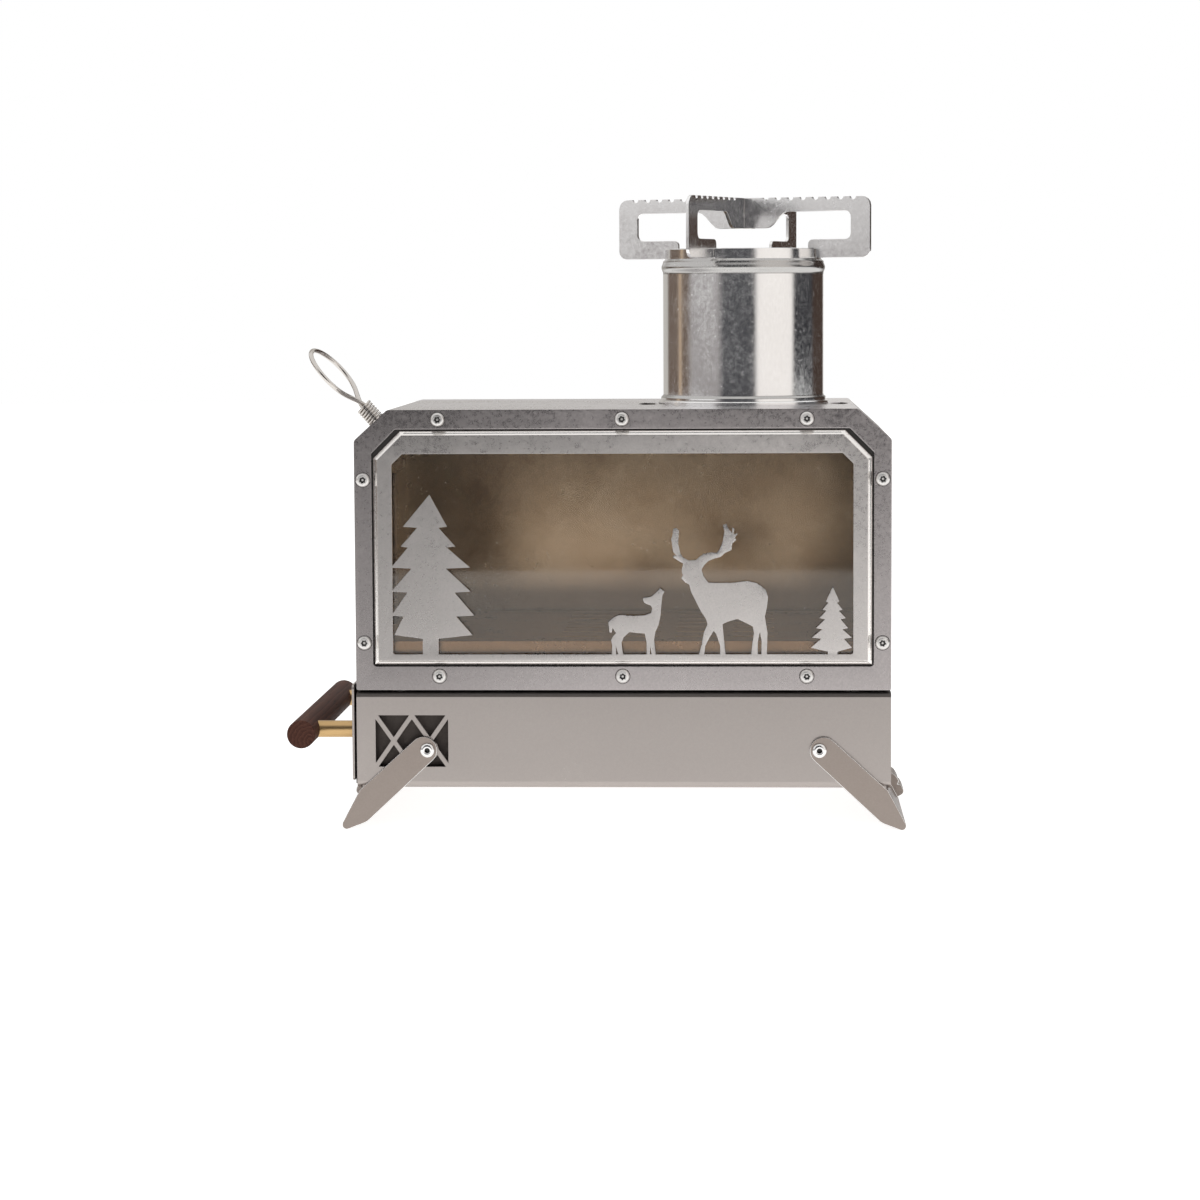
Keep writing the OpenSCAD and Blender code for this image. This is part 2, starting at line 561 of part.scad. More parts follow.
module stand_plate(slot_from_top) {
    half_cut = stand_z1 - web_bottom / 2;
    translate([0, stand_t / 2, 0]) rotate([90, 0, 0]) linear_extrude(stand_t) difference() {
        polygon(rounded([for (p = stand_outline()) [p[0], p[1]]], [for (p = stand_outline()) p[2]], 4));
        for (s = [-1, 1], r = [notch_start:notch_pitch:stand_len / 2 - 10])
            translate([s * (stand_len / 2 - r), stand_z1]) circle(r = notch_r, $fn = 16);
        translate([-stand_t / 2 - cross_gap, slot_from_top ? half_cut - cross_gap : stand_z1 - web_bottom - 1])
            square([stand_t + 2 * cross_gap, slot_from_top ? web_bottom : web_bottom / 2 + 1]);
    }
}
module pot_stand_lower() color("darkgray") placed() translate([pipe_x, 0, 0])
    rotate([0, 0, stand_turn]) stand_plate(true);
module pot_stand_upper() color("darkgray") placed() translate([pipe_x, 0, 0])
    rotate([0, 0, stand_turn + 90]) stand_plate(false);

// ---- base ----------------------------------------------------------------------------------------

base_bend_r = 3;
hem_r = 1.1;
base_lip = 16;
vent_x0 = -half_w + 8;
vent_z1 = base_z1 - 9.6;
boss_r = 4.6;
tail_h = 0.8;

function base_section(in) = rounded([[front_y + in, base_z0 + in], [back_y - in, base_z0 + in],
    [back_y - in, base_z1 - in], [front_y + in, base_z1 - in]],
    [base_bend_r - in, base_bend_r - in, max(hem_r * 1.6 - in, 0.4), max(hem_r * 1.6 - in, 0.4)], 4);

// Two crossed pairs of struts, side by side
module lattice() {
    cell_w = vent_w / 2;
    len = norm([cell_w, vent_h]);
    tilt = atan2(vent_h, cell_w);
    intersection() {
        translate([vent_x0 - slop, vent_z1 - vent_h - slop]) square([vent_w + 2 * slop, vent_h + 2 * slop]);
        union() {
            for (c = [0, 1], s = [-1, 1]) translate([vent_x0 + cell_w * (c + 0.5), vent_z1 - vent_h / 2])
                rotate(s * tilt) square([len * 1.2, strut_w], center = true);
            translate([-pivot_x, pivot_z]) circle(r = boss_r, $fn = 40);
        }
    }
}

module base_housing() color("silver") placed() difference() {
    union() {
        wall_yz(-half_w, body_w) difference() {
            polygon(base_section(0));
            polygon(base_section(base_t));
        }
        wall_yz(half_w - base_t, base_t) polygon(base_section(base_t / 2));
    }
    difference() {
        wall_xz(front_y - 1, base_t + 2) translate([vent_x0, vent_z1 - vent_h]) square([vent_w, vent_h]);
        wall_xz(front_y - 2, base_t + 4) lattice();
    }
    span([-half_w - 1, front_y + base_lip, base_z1 - base_t - 1],
        [half_w - base_lip, back_y - base_lip, base_z1 + 1]);
    for (x = [-base_screw_x, base_screw_x], y = [-base_screw_y, base_screw_y])
        translate([x, y, base_z1 - 3]) cylinder(r = screw_hole_r, h = 6, $fn = 32);
    for (x = [-pivot_x, pivot_x]) rod_y(x, pivot_z, rivet_r + run_fit, front_y - 1, back_y + 1);
}

module at_base_screws() for (x = [-base_screw_x, base_screw_x], y = [-base_screw_y, base_screw_y])
    translate([x, y, 0]) children();
module base_spacers() color("silver") placed() at_base_screws() translate([0, 0, base_z1]) difference() {
    cylinder(r = 5, h = body_gap, $fn = 40);
    translate([0, 0, -1]) cylinder(r = screw_hole_r, h = body_gap + 2, $fn = 32);
}
module base_screws() color("whitesmoke") placed() at_base_screws()
    translate([0, 0, body_z0 + shell_t])
        button_screw(screw_r, screw_head_r, screw_head_h, shell_t + body_gap + base_t + nut_h + 0.6);
module base_nuts() color("silver") placed() at_base_screws()
    translate([0, 0, base_z1 - base_t - nut_h]) hex_nut(screw_r + run_fit, nut_af, nut_h);

tray_y = body_d / 2 - base_t - tail_h - 2 * slide_gap - 2.6;
drawer_rail_t = 0.9;
drawer_rail_h = 8;
module drawer_rails() color("silver") placed() both_sides()
    span([-half_w + 4, tray_y + slide_gap, base_z0 + base_t],
        [half_w - 6, tray_y + slide_gap + drawer_rail_t, base_z0 + base_t + drawer_rail_h]);

// ---- ash drawer ----------------------------------------------------------------------------------

tray_x0 = plate_x + front_plate_t;
tray_z0 = base_z0 + base_t + 0.2;
plate_z0 = base_z0 + 3.1;

module ash_drawer() color("lightgray") placed() difference() {
    span([tray_x0, -tray_y, tray_z0], [tray_x0 + drawer_len, tray_y, tray_z0 + drawer_h]);
    span([tray_x0 + drawer_t, -tray_y + drawer_t, tray_z0 + drawer_t],
        [tray_x0 + drawer_len - drawer_t, tray_y - drawer_t, tray_z0 + drawer_h + 1]);
    for (y = [-post_y, post_y]) rod_x(y, post_z, screw_hole_r, tray_x0 - 1, tray_x0 + drawer_t + 1);
}

post_y = body_d / 2 - 18;
post_z = base_z0 + 22.9;
post_x0 = dowel_x - 1;

module drawer_front() color("silver") placed() difference() {
    wall_yz(plate_x, front_plate_t) polygon(rounded([[front_y + 0.5, plate_z0], [back_y - 0.5, plate_z0],
        [back_y - 0.5, plate_z0 + front_plate_h], [front_y + 0.5, plate_z0 + front_plate_h]], [2, 2, 2, 2], 4));
    for (y = [-post_y, post_y]) rod_x(y, post_z, screw_hole_r, plate_x - 1, plate_x + front_plate_t + 1);
}

post_screw_depth = 5;
module handle_posts() color("goldenrod") placed() for (y = [-post_y, post_y]) difference() {
    rod_x(y, post_z, post_r, post_x0, plate_x, 48);
    rod_x(y, post_z, screw_r + run_fit, plate_x - post_screw_depth - 1, plate_x + 1);
}

module handle_dowel() color("saddlebrown") placed() difference() {
    translate([dowel_x, dowel_len / 2, post_z]) rotate([90, 0, 0]) rotate_extrude($fn = 64)
        polygon([[0, 0], [dowel_r - 0.8, 0], [dowel_r - 0.25, 0.25], [dowel_r, 0.8], [dowel_r, dowel_len - 0.8],
            [dowel_r - 0.25, dowel_len - 0.25], [dowel_r - 0.8, dowel_len], [0, dowel_len]]);
    for (y = [-post_y, post_y]) rod_x(y, post_z, post_r + run_fit, post_x0 - run_fit, plate_x, 48);
}

module post_screws() color("whitesmoke") placed() for (y = [-post_y, post_y])
    translate([tray_x0 + drawer_t, y, post_z]) rotate([0, 90, 0])
        button_screw(screw_r, screw_head_r, screw_head_h, drawer_t + front_plate_t + post_screw_depth);

// ---- legs ----------------------------------------------------------------------------------------
// A leg is drawn about its pivot: u runs outwards, z up. Its cross plate lies along a line that passes
// leg_reach from the pivot, so that it folds flat under the base.

arm_tilt = 43;
sole_tilt = 21;
eye_set = 1.7;
function leg_n() = [sin(leg_angle), cos(leg_angle)];
function leg_d() = [cos(leg_angle), -sin(leg_angle)];
function leg_at(reach, along) = reach * leg_n() + along * leg_d();
function meet(p, u, q, v) = p + u * (cross(q - p, v) / cross(u, v));

function leg_outline() =
    let(out = [cos(arm_tilt), -sin(arm_tilt)], up = [sin(arm_tilt), cos(arm_tilt)], eye = [eye_set, 0])
    let(toe = leg_at(leg_reach - toe_r, toe_along), down = [-sin(sole_tilt), -cos(sole_tilt)])
    let(bend = leg_at(leg_reach, leg_bend), inner = eye - eye_r * up)
    let(corner = meet(toe + toe_r * down, [-cos(sole_tilt), sin(sole_tilt)], inner, out))
    concat([eye + eye_r * up, bend], arc(toe, toe_r, 90 - leg_angle, -90 - sole_tilt, 8),
        fillet(toe + toe_r * down, corner, inner, 7, 5), [inner]);

washer_t = 0.5;
arm_in_y = body_d / 2 + washer_t;
arm_out_y = arm_in_y + leg_t;

// Cross plate from arm to arm, with a pull tab that stands off its outer face at mid-depth
module cross_plate() {
    translate([0, arm_out_y, 0]) rotate([90, 0, 0]) linear_extrude(2 * arm_out_y) polygon([
        leg_at(leg_reach, leg_bend), leg_at(leg_reach, toe_along), leg_at(leg_reach - leg_t, toe_along),
        leg_at(leg_reach - leg_t, leg_bend)]);
    tab = concat([[tab_span[0], 0]], arc([tab_span[0] + 4, 0], tab_out, 180, 90, 6),
        [[tab_span[1] - 6, tab_out], [tab_span[1] - 5, tab_out - 1.2], [tab_span[1] - 4, tab_out]],
        arc([tab_span[1] - tab_corner_r, tab_out - tab_corner_r], tab_corner_r, 90, 0, 8), [[tab_span[1], 0]]);
    translate([0, tab_w / 2, 0]) rotate([90, 0, 0]) linear_extrude(tab_w)
        polygon([for (p = tab) leg_at(leg_reach - slop + p[1], p[0])]);
}

module leg() difference() {
    union() {
        both_sides() translate([0, arm_out_y, 0]) rotate([90, 0, 0]) union() {
            linear_extrude(leg_t) polygon(leg_outline());
            translate([eye_set, 0, 0]) cylinder(r = eye_r, h = leg_t, $fn = 64);
        }
        cross_plate();
    }
    rod_y(0, 0, rivet_r + run_fit, -arm_out_y - 1, arm_out_y + 1);
}
module left_leg() color("silver") placed() translate([-pivot_x, 0, pivot_z]) mirror([1, 0, 0]) leg();
module right_leg() color("silver") placed() translate([pivot_x, 0, pivot_z]) leg();

module at_rivets() for (x = [-pivot_x, pivot_x]) translate([x, 0, pivot_z]) both_sides() children();
washer_r = 4;
tail_r = 2.4;
rivet_head_r = 3.2;
rivet_head_h = 1.5;
rivet_bore_r = 0.75;
side_play = 0.1;        // a leg's play along its rivets
module leg_washers() color("silver") placed() at_rivets() difference() {
    rod_y(0, 0, washer_r, back_y, arm_in_y - side_play, 40);
    rod_y(0, 0, rivet_r + run_fit, back_y - 1, arm_in_y + 1);
}
module leg_rivets() color("whitesmoke") placed() at_rivets() difference() {
    rotate([-90, 0, 0]) rotate_extrude($fn = 48) polygon(concat([
        [0, back_y - base_t - tail_h], [tail_r, back_y - base_t - tail_h], [tail_r, back_y - base_t],
        [rivet_r, back_y - base_t], [rivet_r, arm_out_y + side_play]],
        [for (a = [0:15:90]) [rivet_head_r * cos(a), arm_out_y + side_play + rivet_head_h * sin(a)]]));
    rod_y(0, 0, rivet_bore_r, back_y - 3, arm_out_y + 3, 24);
}

// ---- fuel door -----------------------------------------------------------------------------------
// The left end and its sloping corner are one bent sheet that swings on a pin at the rear corner.

axis_x = -half_w - knuckle_r - 0.2;
axis_y = back_y - 1;
slope_lean = atan2(corner_h, corner_w);
door_z0 = sill_z + 0.5;
door_lap = 3;
door_top_gap = 0.2;

module door_section() {
    outer = body_outline(0);
    inner = body_outline(door_t);
    back_off = door_top_gap * unit([corner_w, corner_h]);
    polygon([[outer[5][0], door_z0], outer[5], outer[4] - back_off, inner[4] - back_off, inner[5],
        [inner[5][0], door_z0]]);
}

hinge_z0 = (side_screw_z[0] + side_screw_z[1] - hinge_h) / 2;
leaf_t = 0.6;
leaf_w = 14;
knuckles = 5;
knuckle_h = hinge_h / knuckles;
hinge_hole_r = 1.1;
hinge_head_r = 1.9;
hinge_head_h = 1;
hinge_screw_z = [hinge_z0 + knuckle_h * 0.5, hinge_z0 + knuckle_h * 2.5, hinge_z0 + knuckle_h * 4.5];

module hinge_screw_holes(r) for (z = hinge_screw_z)
    rod_y(axis_x + leaf_w - 4, z, r, back_y - 3, back_y + 3, 24);
module door_rivet_holes(r) for (z = hinge_screw_z)
    rod_x(axis_y - leaf_w + 4, z, r, -half_w - 3, -half_w + 3, 24);

module fuel_door() color("lightgray") placed() difference() {
    wall_xz(door_y0, door_y1 - door_y0) door_section();
    stud_at() translate([0, 0, -door_t - 2]) cylinder(r = stud_r + run_fit, h = door_t + 4, $fn = 32);
    door_rivet_holes(hinge_hole_r + run_fit);
}

// Knuckles with the same remainder belong to the same leaf
module knuckle_row(which) for (k = [0:knuckles - 1]) if (k % 2 == which)
    translate([axis_x, axis_y, hinge_z0 + k * knuckle_h + 0.15]) difference() {
        cylinder(r = knuckle_r, h = knuckle_h - 0.3, $fn = 40);
        translate([0, 0, -1]) cylinder(r = pin_r + run_fit, h = knuckle_h + 2, $fn = 32);
    }
module leaf_tongues(which) for (k = [0:knuckles - 1]) if (k % 2 == which)
    translate([0, 0, hinge_z0 + k * knuckle_h + 0.15]) children();

module fixed_hinge_leaf() color("silver") placed() difference() {
    union() {
        knuckle_row(0);
        leaf_tongues(0) span([axis_x, back_y, 0], [axis_x + 4, back_y + leaf_t, knuckle_h - 0.3]);
        span([axis_x + 3, back_y, hinge_z0], [axis_x + leaf_w, back_y + leaf_t, hinge_z0 + hinge_h]);
    }
    translate([axis_x, axis_y, hinge_z0 - 1]) cylinder(r = pin_r + run_fit, h = hinge_h + 2, $fn = 32);
    hinge_screw_holes(hinge_hole_r);
}
module door_hinge_leaf() color("silver") placed() difference() {
    union() {
        knuckle_row(1);
        leaf_tongues(1) span([-half_w - leaf_t, axis_y - 4, 0], [-half_w, axis_y, knuckle_h - 0.3]);
        span([-half_w - leaf_t, axis_y - leaf_w, hinge_z0], [-half_w, axis_y - 3.2, hinge_z0 + hinge_h]);
        for (z = hinge_screw_z)
            rod_x(axis_y - leaf_w + 4, z, hinge_hole_r, -half_w - leaf_t - 0.6, -half_w + door_t, 24);
    }
    translate([axis_x, axis_y, hinge_z0 - 1]) cylinder(r = pin_r + run_fit, h = hinge_h + 2, $fn = 32);
}
module hinge_screws() color("whitesmoke") placed() for (z = hinge_screw_z)
    translate([axis_x + leaf_w - 4, back_y + leaf_t, z]) rotate([-90, 0, 0])
        button_screw(hinge_hole_r - run_fit, hinge_head_r, hinge_head_h, leaf_t + frame_t, hinge_head_r * 0.37);
module hinge_pin() color("silver") placed() translate([axis_x, axis_y, hinge_z0 - 0.8]) union() {
    cylinder(r = pin_r, h = hinge_h + 1.6, $fn = 32);
    translate([0, 0, -0.6]) cylinder(r = knuckle_r - 0.2, h = 0.7, $fn = 32);
    translate([0, 0, hinge_h + 1.5]) cylinder(r = knuckle_r - 0.2, h = 0.7, $fn = 32);
}

// Seats behind the door's long edges, folded from the front and rear rails
jamb_t = 0.9;
module door_jambs() color("silver") placed() {
    for (y = [[rail_back_y, door_y0 + door_lap], [door_y1 - door_lap, rear_rail_y]])
        span([-half_w + door_t + slide_gap, y[0], side_screw_z[1] + nut_af],
            [-half_w + door_t + slide_gap + jamb_t, y[1], side_screw_z[0] - nut_af]);
}
// Leaf spring that holds the door's free edge shut
catch_w = 12;
catch_t = 0.6;
module door_catch() color("silver") placed() {
    x0 = -half_w + door_t + slide_gap + jamb_t;
    z0 = body_z0 + body_h * 0.4;
    span([x0, rail_back_y, z0], [x0 + catch_t, rail_back_y + catch_w, z0 + catch_w]);
    span([x0 - jamb_t, door_y0 + door_lap + 1, z0], [x0 + slop, rail_back_y + catch_w, z0 + catch_w]);
}

// The handle's stem stands square on the sloping corner
stud_r = 2.2;
stem_len = spring_pitch * spring_turns + 2.4;
neck_len = 5.2;
neck_angle = 26;
neck_twist = 60;         // turn of the two wires about the stem where they leave the spring
washer_h = 0.8;
module stud_at() translate([-half_w + corner_w * 0.5, front_y + ring_set, body_z1 - corner_h * 0.5])
    rotate([0, -slope_lean, 0]) children();

module handle_washer() color("silver") placed() stud_at() difference() {
    cylinder(r = spring_r + spring_wire + 0.5, h = washer_h, $fn = 40);
    translate([0, 0, -1]) cylinder(r = stud_r + run_fit, h = washer_h + 2, $fn = 32);
}

// Stem through the door, two neck wires and a closed ring
module ring_handle() color("silver") placed() stud_at() rotate([0, 0, 90 - ring_turn]) {
    top = washer_h + stem_len;
    centre = top + neck_len + ring_r * cos(neck_angle);
    translate([0, 0, -door_t - 3.5]) cylinder(r = stud_r, h = door_t + 3.5 + top - 1.6, $fn = 32);
    for (s = [-1, 1]) hull() {
        rotate([0, 0, neck_twist]) translate([s * (ring_wire + 0.15), 0, top - 2.6])
            sphere(r = ring_wire, $fn = 12);
        translate([s * ring_r * sin(neck_angle), 0, centre - ring_r * cos(neck_angle)])
            sphere(r = ring_wire, $fn = 12);
    }
    translate([0, 0, centre]) rotate([90, 0, 0]) rotate([0, 0, -90 + neck_angle])
        rotate_extrude(angle = 360 - 2 * neck_angle, $fn = 64)
            translate([ring_r, 0]) circle(r = ring_wire, $fn = 24);
}

module handle_nut() color("silver") placed() stud_at() translate([0, 0, -door_t - nut_h])
    hex_nut(stud_r + run_fit, 7, nut_h);

// One unbroken wire: a lead-in square to the washer, the turns, and a lead-out
coil_rings = 8;
coil_z0 = washer_h + 0.15 + spring_wire;
function coil_out(i) = let(a = 360 * i / coil_rings) [cos(a), sin(a), 0];
function coil_point(i) = spring_r * coil_out(i) + [0, 0, coil_z0 + spring_pitch * i / coil_rings];
function coil_dir(i) = unit(2 * PI * spring_r * cross([0, 0, 1], coil_out(i)) + [0, 0, spring_pitch]);
coil_steps = spring_turns * coil_rings;
wire_sides = 6;

// Each ring of the tube: its centre, its outward direction and its heading
function coil_ring(i, shift = 0) = [coil_point(i) + shift * coil_dir(i), coil_out(i), coil_dir(i)];
coil_tube = concat([coil_ring(0, -2 * spring_wire)], [for (i = [0:coil_steps]) coil_ring(i)],
    [coil_ring(coil_steps, 2 * spring_wire)]);

module handle_spring() color("silver") placed() stud_at() {
    rings = len(coil_tube);
    pts = [for (t = coil_tube, k = [0:wire_sides - 1]) let(a = 360 * k / wire_sides)
        t[0] + spring_wire * (t[1] * cos(a) + cross(t[2], t[1]) * sin(a))];
    faces = concat([for (k = [0:rings - 2], a = [0:wire_sides - 1])
        let(b = (a + 1) % wire_sides, p = k * wire_sides)
        each [[p + a, p + b, p + wire_sides + b], [p + a, p + wire_sides + b, p + wire_sides + a]]],
        [for (a = [1:wire_sides - 2]) [0, a + 1, a]],
        [for (a = [1:wire_sides - 2]) let(p = (rings - 1) * wire_sides) [p, p + a, p + a + 1]]);
    polyhedron(pts, faces);
}
coil_gap = min([for (i = [0:coil_steps - coil_rings / 2], j = [i + coil_rings / 2:coil_steps])
    norm(coil_point(i) - coil_point(j))]) - 2 * spring_wire;
echo(least_gap_between_spring_turns = coil_gap);
assert(coil_gap > 0.4, "the spring's turns lie too close");

firebox_shell();
front_frame();
back_panel();
window_bezel();
glass_gasket();
glass_pane();
glass_clips();
clip_rivets();
front_screws();
front_nuts();
back_screws();
back_nuts();
fire_grate();
flue_doubler();
flue_collar();
base_housing();
base_spacers();
base_screws();
base_nuts();
drawer_rails();
door_jambs();
door_catch();
fixed_hinge_leaf();
hinge_screws();
hinge_pin();
leg_washers();
leg_rivets();
fuel_door();
door_hinge_leaf();
handle_washer();
handle_spring();
ring_handle();
handle_nut();
ash_drawer();
drawer_front();
handle_posts();
handle_dowel();
post_screws();
left_leg();
right_leg();
flue_pipe();
pot_stand_lower();
pot_stand_upper();
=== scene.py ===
"""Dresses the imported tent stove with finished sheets, fasteners, handles and steels, and sets its stage."""
import json
import math

import bmesh
import bpy
from mathutils import Matrix, Vector
from mathutils.geometry import intersect_line_line

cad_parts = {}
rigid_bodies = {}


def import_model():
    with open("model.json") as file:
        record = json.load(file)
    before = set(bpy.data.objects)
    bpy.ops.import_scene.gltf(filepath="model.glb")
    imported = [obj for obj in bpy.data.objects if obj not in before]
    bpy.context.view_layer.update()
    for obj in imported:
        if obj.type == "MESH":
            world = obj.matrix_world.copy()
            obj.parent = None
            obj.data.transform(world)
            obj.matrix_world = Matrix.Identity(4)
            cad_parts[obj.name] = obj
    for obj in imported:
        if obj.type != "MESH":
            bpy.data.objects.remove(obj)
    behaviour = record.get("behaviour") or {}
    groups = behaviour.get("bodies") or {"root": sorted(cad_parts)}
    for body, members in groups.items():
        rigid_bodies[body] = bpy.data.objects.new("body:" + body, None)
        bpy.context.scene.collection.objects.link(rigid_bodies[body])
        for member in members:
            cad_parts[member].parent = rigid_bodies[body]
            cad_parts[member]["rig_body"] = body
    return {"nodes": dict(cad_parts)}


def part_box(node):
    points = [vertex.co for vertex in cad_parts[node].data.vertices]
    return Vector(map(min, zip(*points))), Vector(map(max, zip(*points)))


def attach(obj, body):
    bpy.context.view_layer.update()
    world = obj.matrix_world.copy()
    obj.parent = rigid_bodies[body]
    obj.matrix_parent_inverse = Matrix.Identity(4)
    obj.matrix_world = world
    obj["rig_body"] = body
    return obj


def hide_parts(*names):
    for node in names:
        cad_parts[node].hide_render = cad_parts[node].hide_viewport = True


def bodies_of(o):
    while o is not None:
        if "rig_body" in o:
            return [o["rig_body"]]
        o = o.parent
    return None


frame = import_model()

bl_info = {
    "name": "Tent Stove Dresser",
    "version": (1, 0, 0),
    "blender": (4, 5, 0),
    "location": "3D View > Sidebar > Stove",
    "description": "Finishes a folding-leg tent stove and its studio stage",
    "category": "Object",
}

MM = 0.001
TURN = 2 * math.pi
TOUCH = 0.01 * MM  # what still counts as lying on a plane
WELD = 1e-7  # vertices of a new piece that are nearer than this become one
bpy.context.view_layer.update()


# ---- settings ----


def colour(name, description, default):
    """Colour setting, in linear red, green and blue."""
    return bpy.props.FloatVectorProperty(
        name=name, description=description, default=default, size=3, subtype="COLOR", min=0, max=1)


def length(name, description, default):
    """Length setting; the default is given in millimetres."""
    return bpy.props.FloatProperty(
        name=name, description=description, default=default * MM, min=0, unit="LENGTH", subtype="DISTANCE",
        precision=5)


def share(name, description, default):
    """Setting that runs from nought to one."""
    return bpy.props.FloatProperty(
        name=name, description=description, default=default, min=0, max=1, subtype="FACTOR")


class StoveFinishes(bpy.types.PropertyGroup):
    """Colours and roughness of the stove's materials."""

    frame_steel: colour("Frame steel", "Tumbled face of the front frame", (0.44, 0.405, 0.40))
    bezel_steel: colour("Bezel steel", "Brushed face of the window bezel", (0.62, 0.585, 0.565))
    # painted light: the top sheet is a brighter copy of the shell steel, as lit from above
    roof_steel: colour("Roof steel", "Top sheet, wiped brighter", (0.76, 0.74, 0.755))
    shell_steel: colour("Shell steel", "Folded firebox sheet and fuel door", (0.415, 0.395, 0.395))
    satin_steel: colour("Satin steel", "Base and drawer front", (0.423, 0.383, 0.361))
    # painted shade: a darker copy of the satin steel, for the legs
    leg_steel: colour("Leg steel", "Folding legs", (0.34, 0.29, 0.26))
    tray_steel: colour("Tray steel", "Ash tray, darkened by heat and soot", (0.085, 0.072, 0.066))
    hearth_steel: colour("Hearth steel", "Inner faces of the firebox", (0.96, 0.87, 0.77))
    mirror_steel: colour("Mirror steel", "Polished flue pipe and collar", (0.96, 0.94, 0.915))
    stand_steel: colour("Stand steel", "Plates of the pot stand", (1.0, 0.97, 0.95))
    bright_steel: colour("Bright steel", "Screws, nuts and rivets", (0.74, 0.72, 0.70))
    wire_steel: colour("Wire steel", "Spring and pull ring", (0.62, 0.585, 0.55))
    fired_steel: colour("Fired steel", "Grate tinted by heat", (0.50, 0.37, 0.255))
    brass: colour("Brass", "Posts of the drawer handle", (0.58, 0.39, 0.186))
    walnut_light: colour("Walnut, light grain", "Pale grain of the wooden bar", (0.135, 0.058, 0.040))
    walnut_dark: colour("Walnut, dark grain", "Dark grain of the wooden bar", (0.040, 0.0135, 0.010))
    glass: colour("Glass tint", "Amber tint of the ceramic glass", (0.86, 0.75, 0.63))
    gasket: colour("Gasket", "Woven fibre tape behind the bezel", (0.30, 0.27, 0.22))
    pipe_polish: share("Pipe roughness", "Roughness of the polished pipe", 0.15)
    satin_polish: share("Satin roughness", "Roughness of the base and legs", 0.34)


class StoveSizes(bpy.types.PropertyGroup):
    """Small forms that the finished pieces add to the sheets."""

    bezel_slope: length("Bezel slope", "Width of the bezel's sloping outer edge", 2.1)
    bezel_grow: length("Bezel corner", "How much less the bezel's sloping corners cut than the solid's", 1.0)
    fold_round: length("Fold round", "Radius of a folded sheet's outer corner", 1.2)
    ring_wire: length("Ring wire", "Radius of the pull ring's wire", 1.0)
    spring_wire: length("Spring wire", "Radius of the spring's wire", 0.56)


class StoveStage(bpy.types.PropertyGroup):
    """Camera, lamps and surroundings."""

    camera_place: bpy.props.FloatVectorProperty(
        name="Camera place", description="Where the camera stands", size=3, subtype="TRANSLATION",
        unit="LENGTH", default=(0.06594, -1.50005, 0.22323))
    camera_turn: bpy.props.FloatVectorProperty(
        name="Camera turn", description="Turn to the left, tilt down and roll of the camera", size=3,
        subtype="EULER", unit="ROTATION",
        default=(math.radians(2.599), math.radians(5.051), math.radians(-0.277)))
    camera_lens: bpy.props.FloatProperty(
        name="Focal length", description="Focal length on a 36 mm sensor", default=102.44, min=10,
        unit="CAMERA")
    key_power: bpy.props.FloatProperty(
        name="Key lamp", description="Power of the large soft lamp at the upper left", default=5.5, min=0,
        unit="POWER")
    fill_power: bpy.props.FloatProperty(
        name="Fill lamp", description="Power of the soft lamp at the right", default=3.0, min=0,
        unit="POWER")
    sky: share("Sky", "Strength of the even light from all round", 0.55)


GROUPS = {"stove_finishes": StoveFinishes, "stove_sizes": StoveSizes, "stove_stage": StoveStage}


def finishes():
    return bpy.context.scene.stove_finishes


def sizes():
    return bpy.context.scene.stove_sizes


# ---- mesh helpers ----


def welded(node):
    """A CAD node's own shape with its loose triangles joined at their corners."""
    bm = bmesh.new()
    bm.from_mesh(frame["nodes"][node].data)
    bmesh.ops.remove_doubles(bm, verts=bm.verts, dist=1e-6)
    return bm


def sheet_of(node):
    """A CAD node's own shape, its loose triangles joined into whole faces."""
    bm = welded(node)
    bmesh.ops.dissolve_limit(bm, angle_limit=math.radians(0.5), verts=bm.verts, edges=bm.edges)
    return bm


def groups(items, neighbours):
    """The sets of items that reach one another; the given set is emptied."""
    found = []
    while items:
        group, front = set(), [items.pop()]
        while front:
            item = front.pop()
            group.add(item)
            near = neighbours(item) & items
            items -= near
            front += near
        found.append(group)
    return found


def corners(verts):
    """Lowest and highest corner of some vertices."""
    return tuple(Vector([pick(v.co[k] for v in verts) for k in range(3)]) for pick in (min, max))


def loose_parts(node):
    """Lowest and highest corner of each separate part of a CAD node, in the order of the lowest corners."""
    bm = welded(node)
    parts = groups(set(bm.verts), lambda vert: {edge.other_vert(vert) for edge in vert.link_edges})
    found = [corners(part) for part in parts]
    bm.free()
    return sorted(found, key=lambda part: tuple(part[0]))


def round_edges(bm, width, segments=2, least=30, chosen=lambda edge: True):
    """Rounds the chosen edges that turn by more than the least angle."""
    edges = [e for e in bm.edges
             if len(e.link_faces) == 2 and e.calc_face_angle(0) > math.radians(least) and chosen(e)]
    bmesh.ops.bevel(bm, geom=edges, offset=width, offset_type="OFFSET", segments=segments, profile=0.5,
                    affect="EDGES", clamp_overlap=False, material=-1)


def square_corners(bm, rim, least):
    """Draws the short edges of a rim together into one corner point for each run of them."""
    short = {e for e in bm.edges if rim(e) and e.calc_length() < least}
    runs = groups(short, lambda edge: {e for v in edge.verts for e in v.link_edges})
    # Sets have no order of their own, so runs, vertices and sides are sorted by where they are
    for run in sorted(runs, key=lambda run: min(tuple(v.co) for e in run for v in e.verts)):
        verts = sorted({v for e in run for v in e.verts}, key=lambda v: tuple(v.co))
        sides = [e for v in verts for e in v.link_edges if e not in run and rim(e)]
        ends = sorted(sorted(tuple(v.co) for v in e.verts) for e in sides)
        meet = intersect_line_line(*[Vector(end) for side in ends for end in side])
        bmesh.ops.pointmerge(bm, verts=verts, merge_co=meet[0])


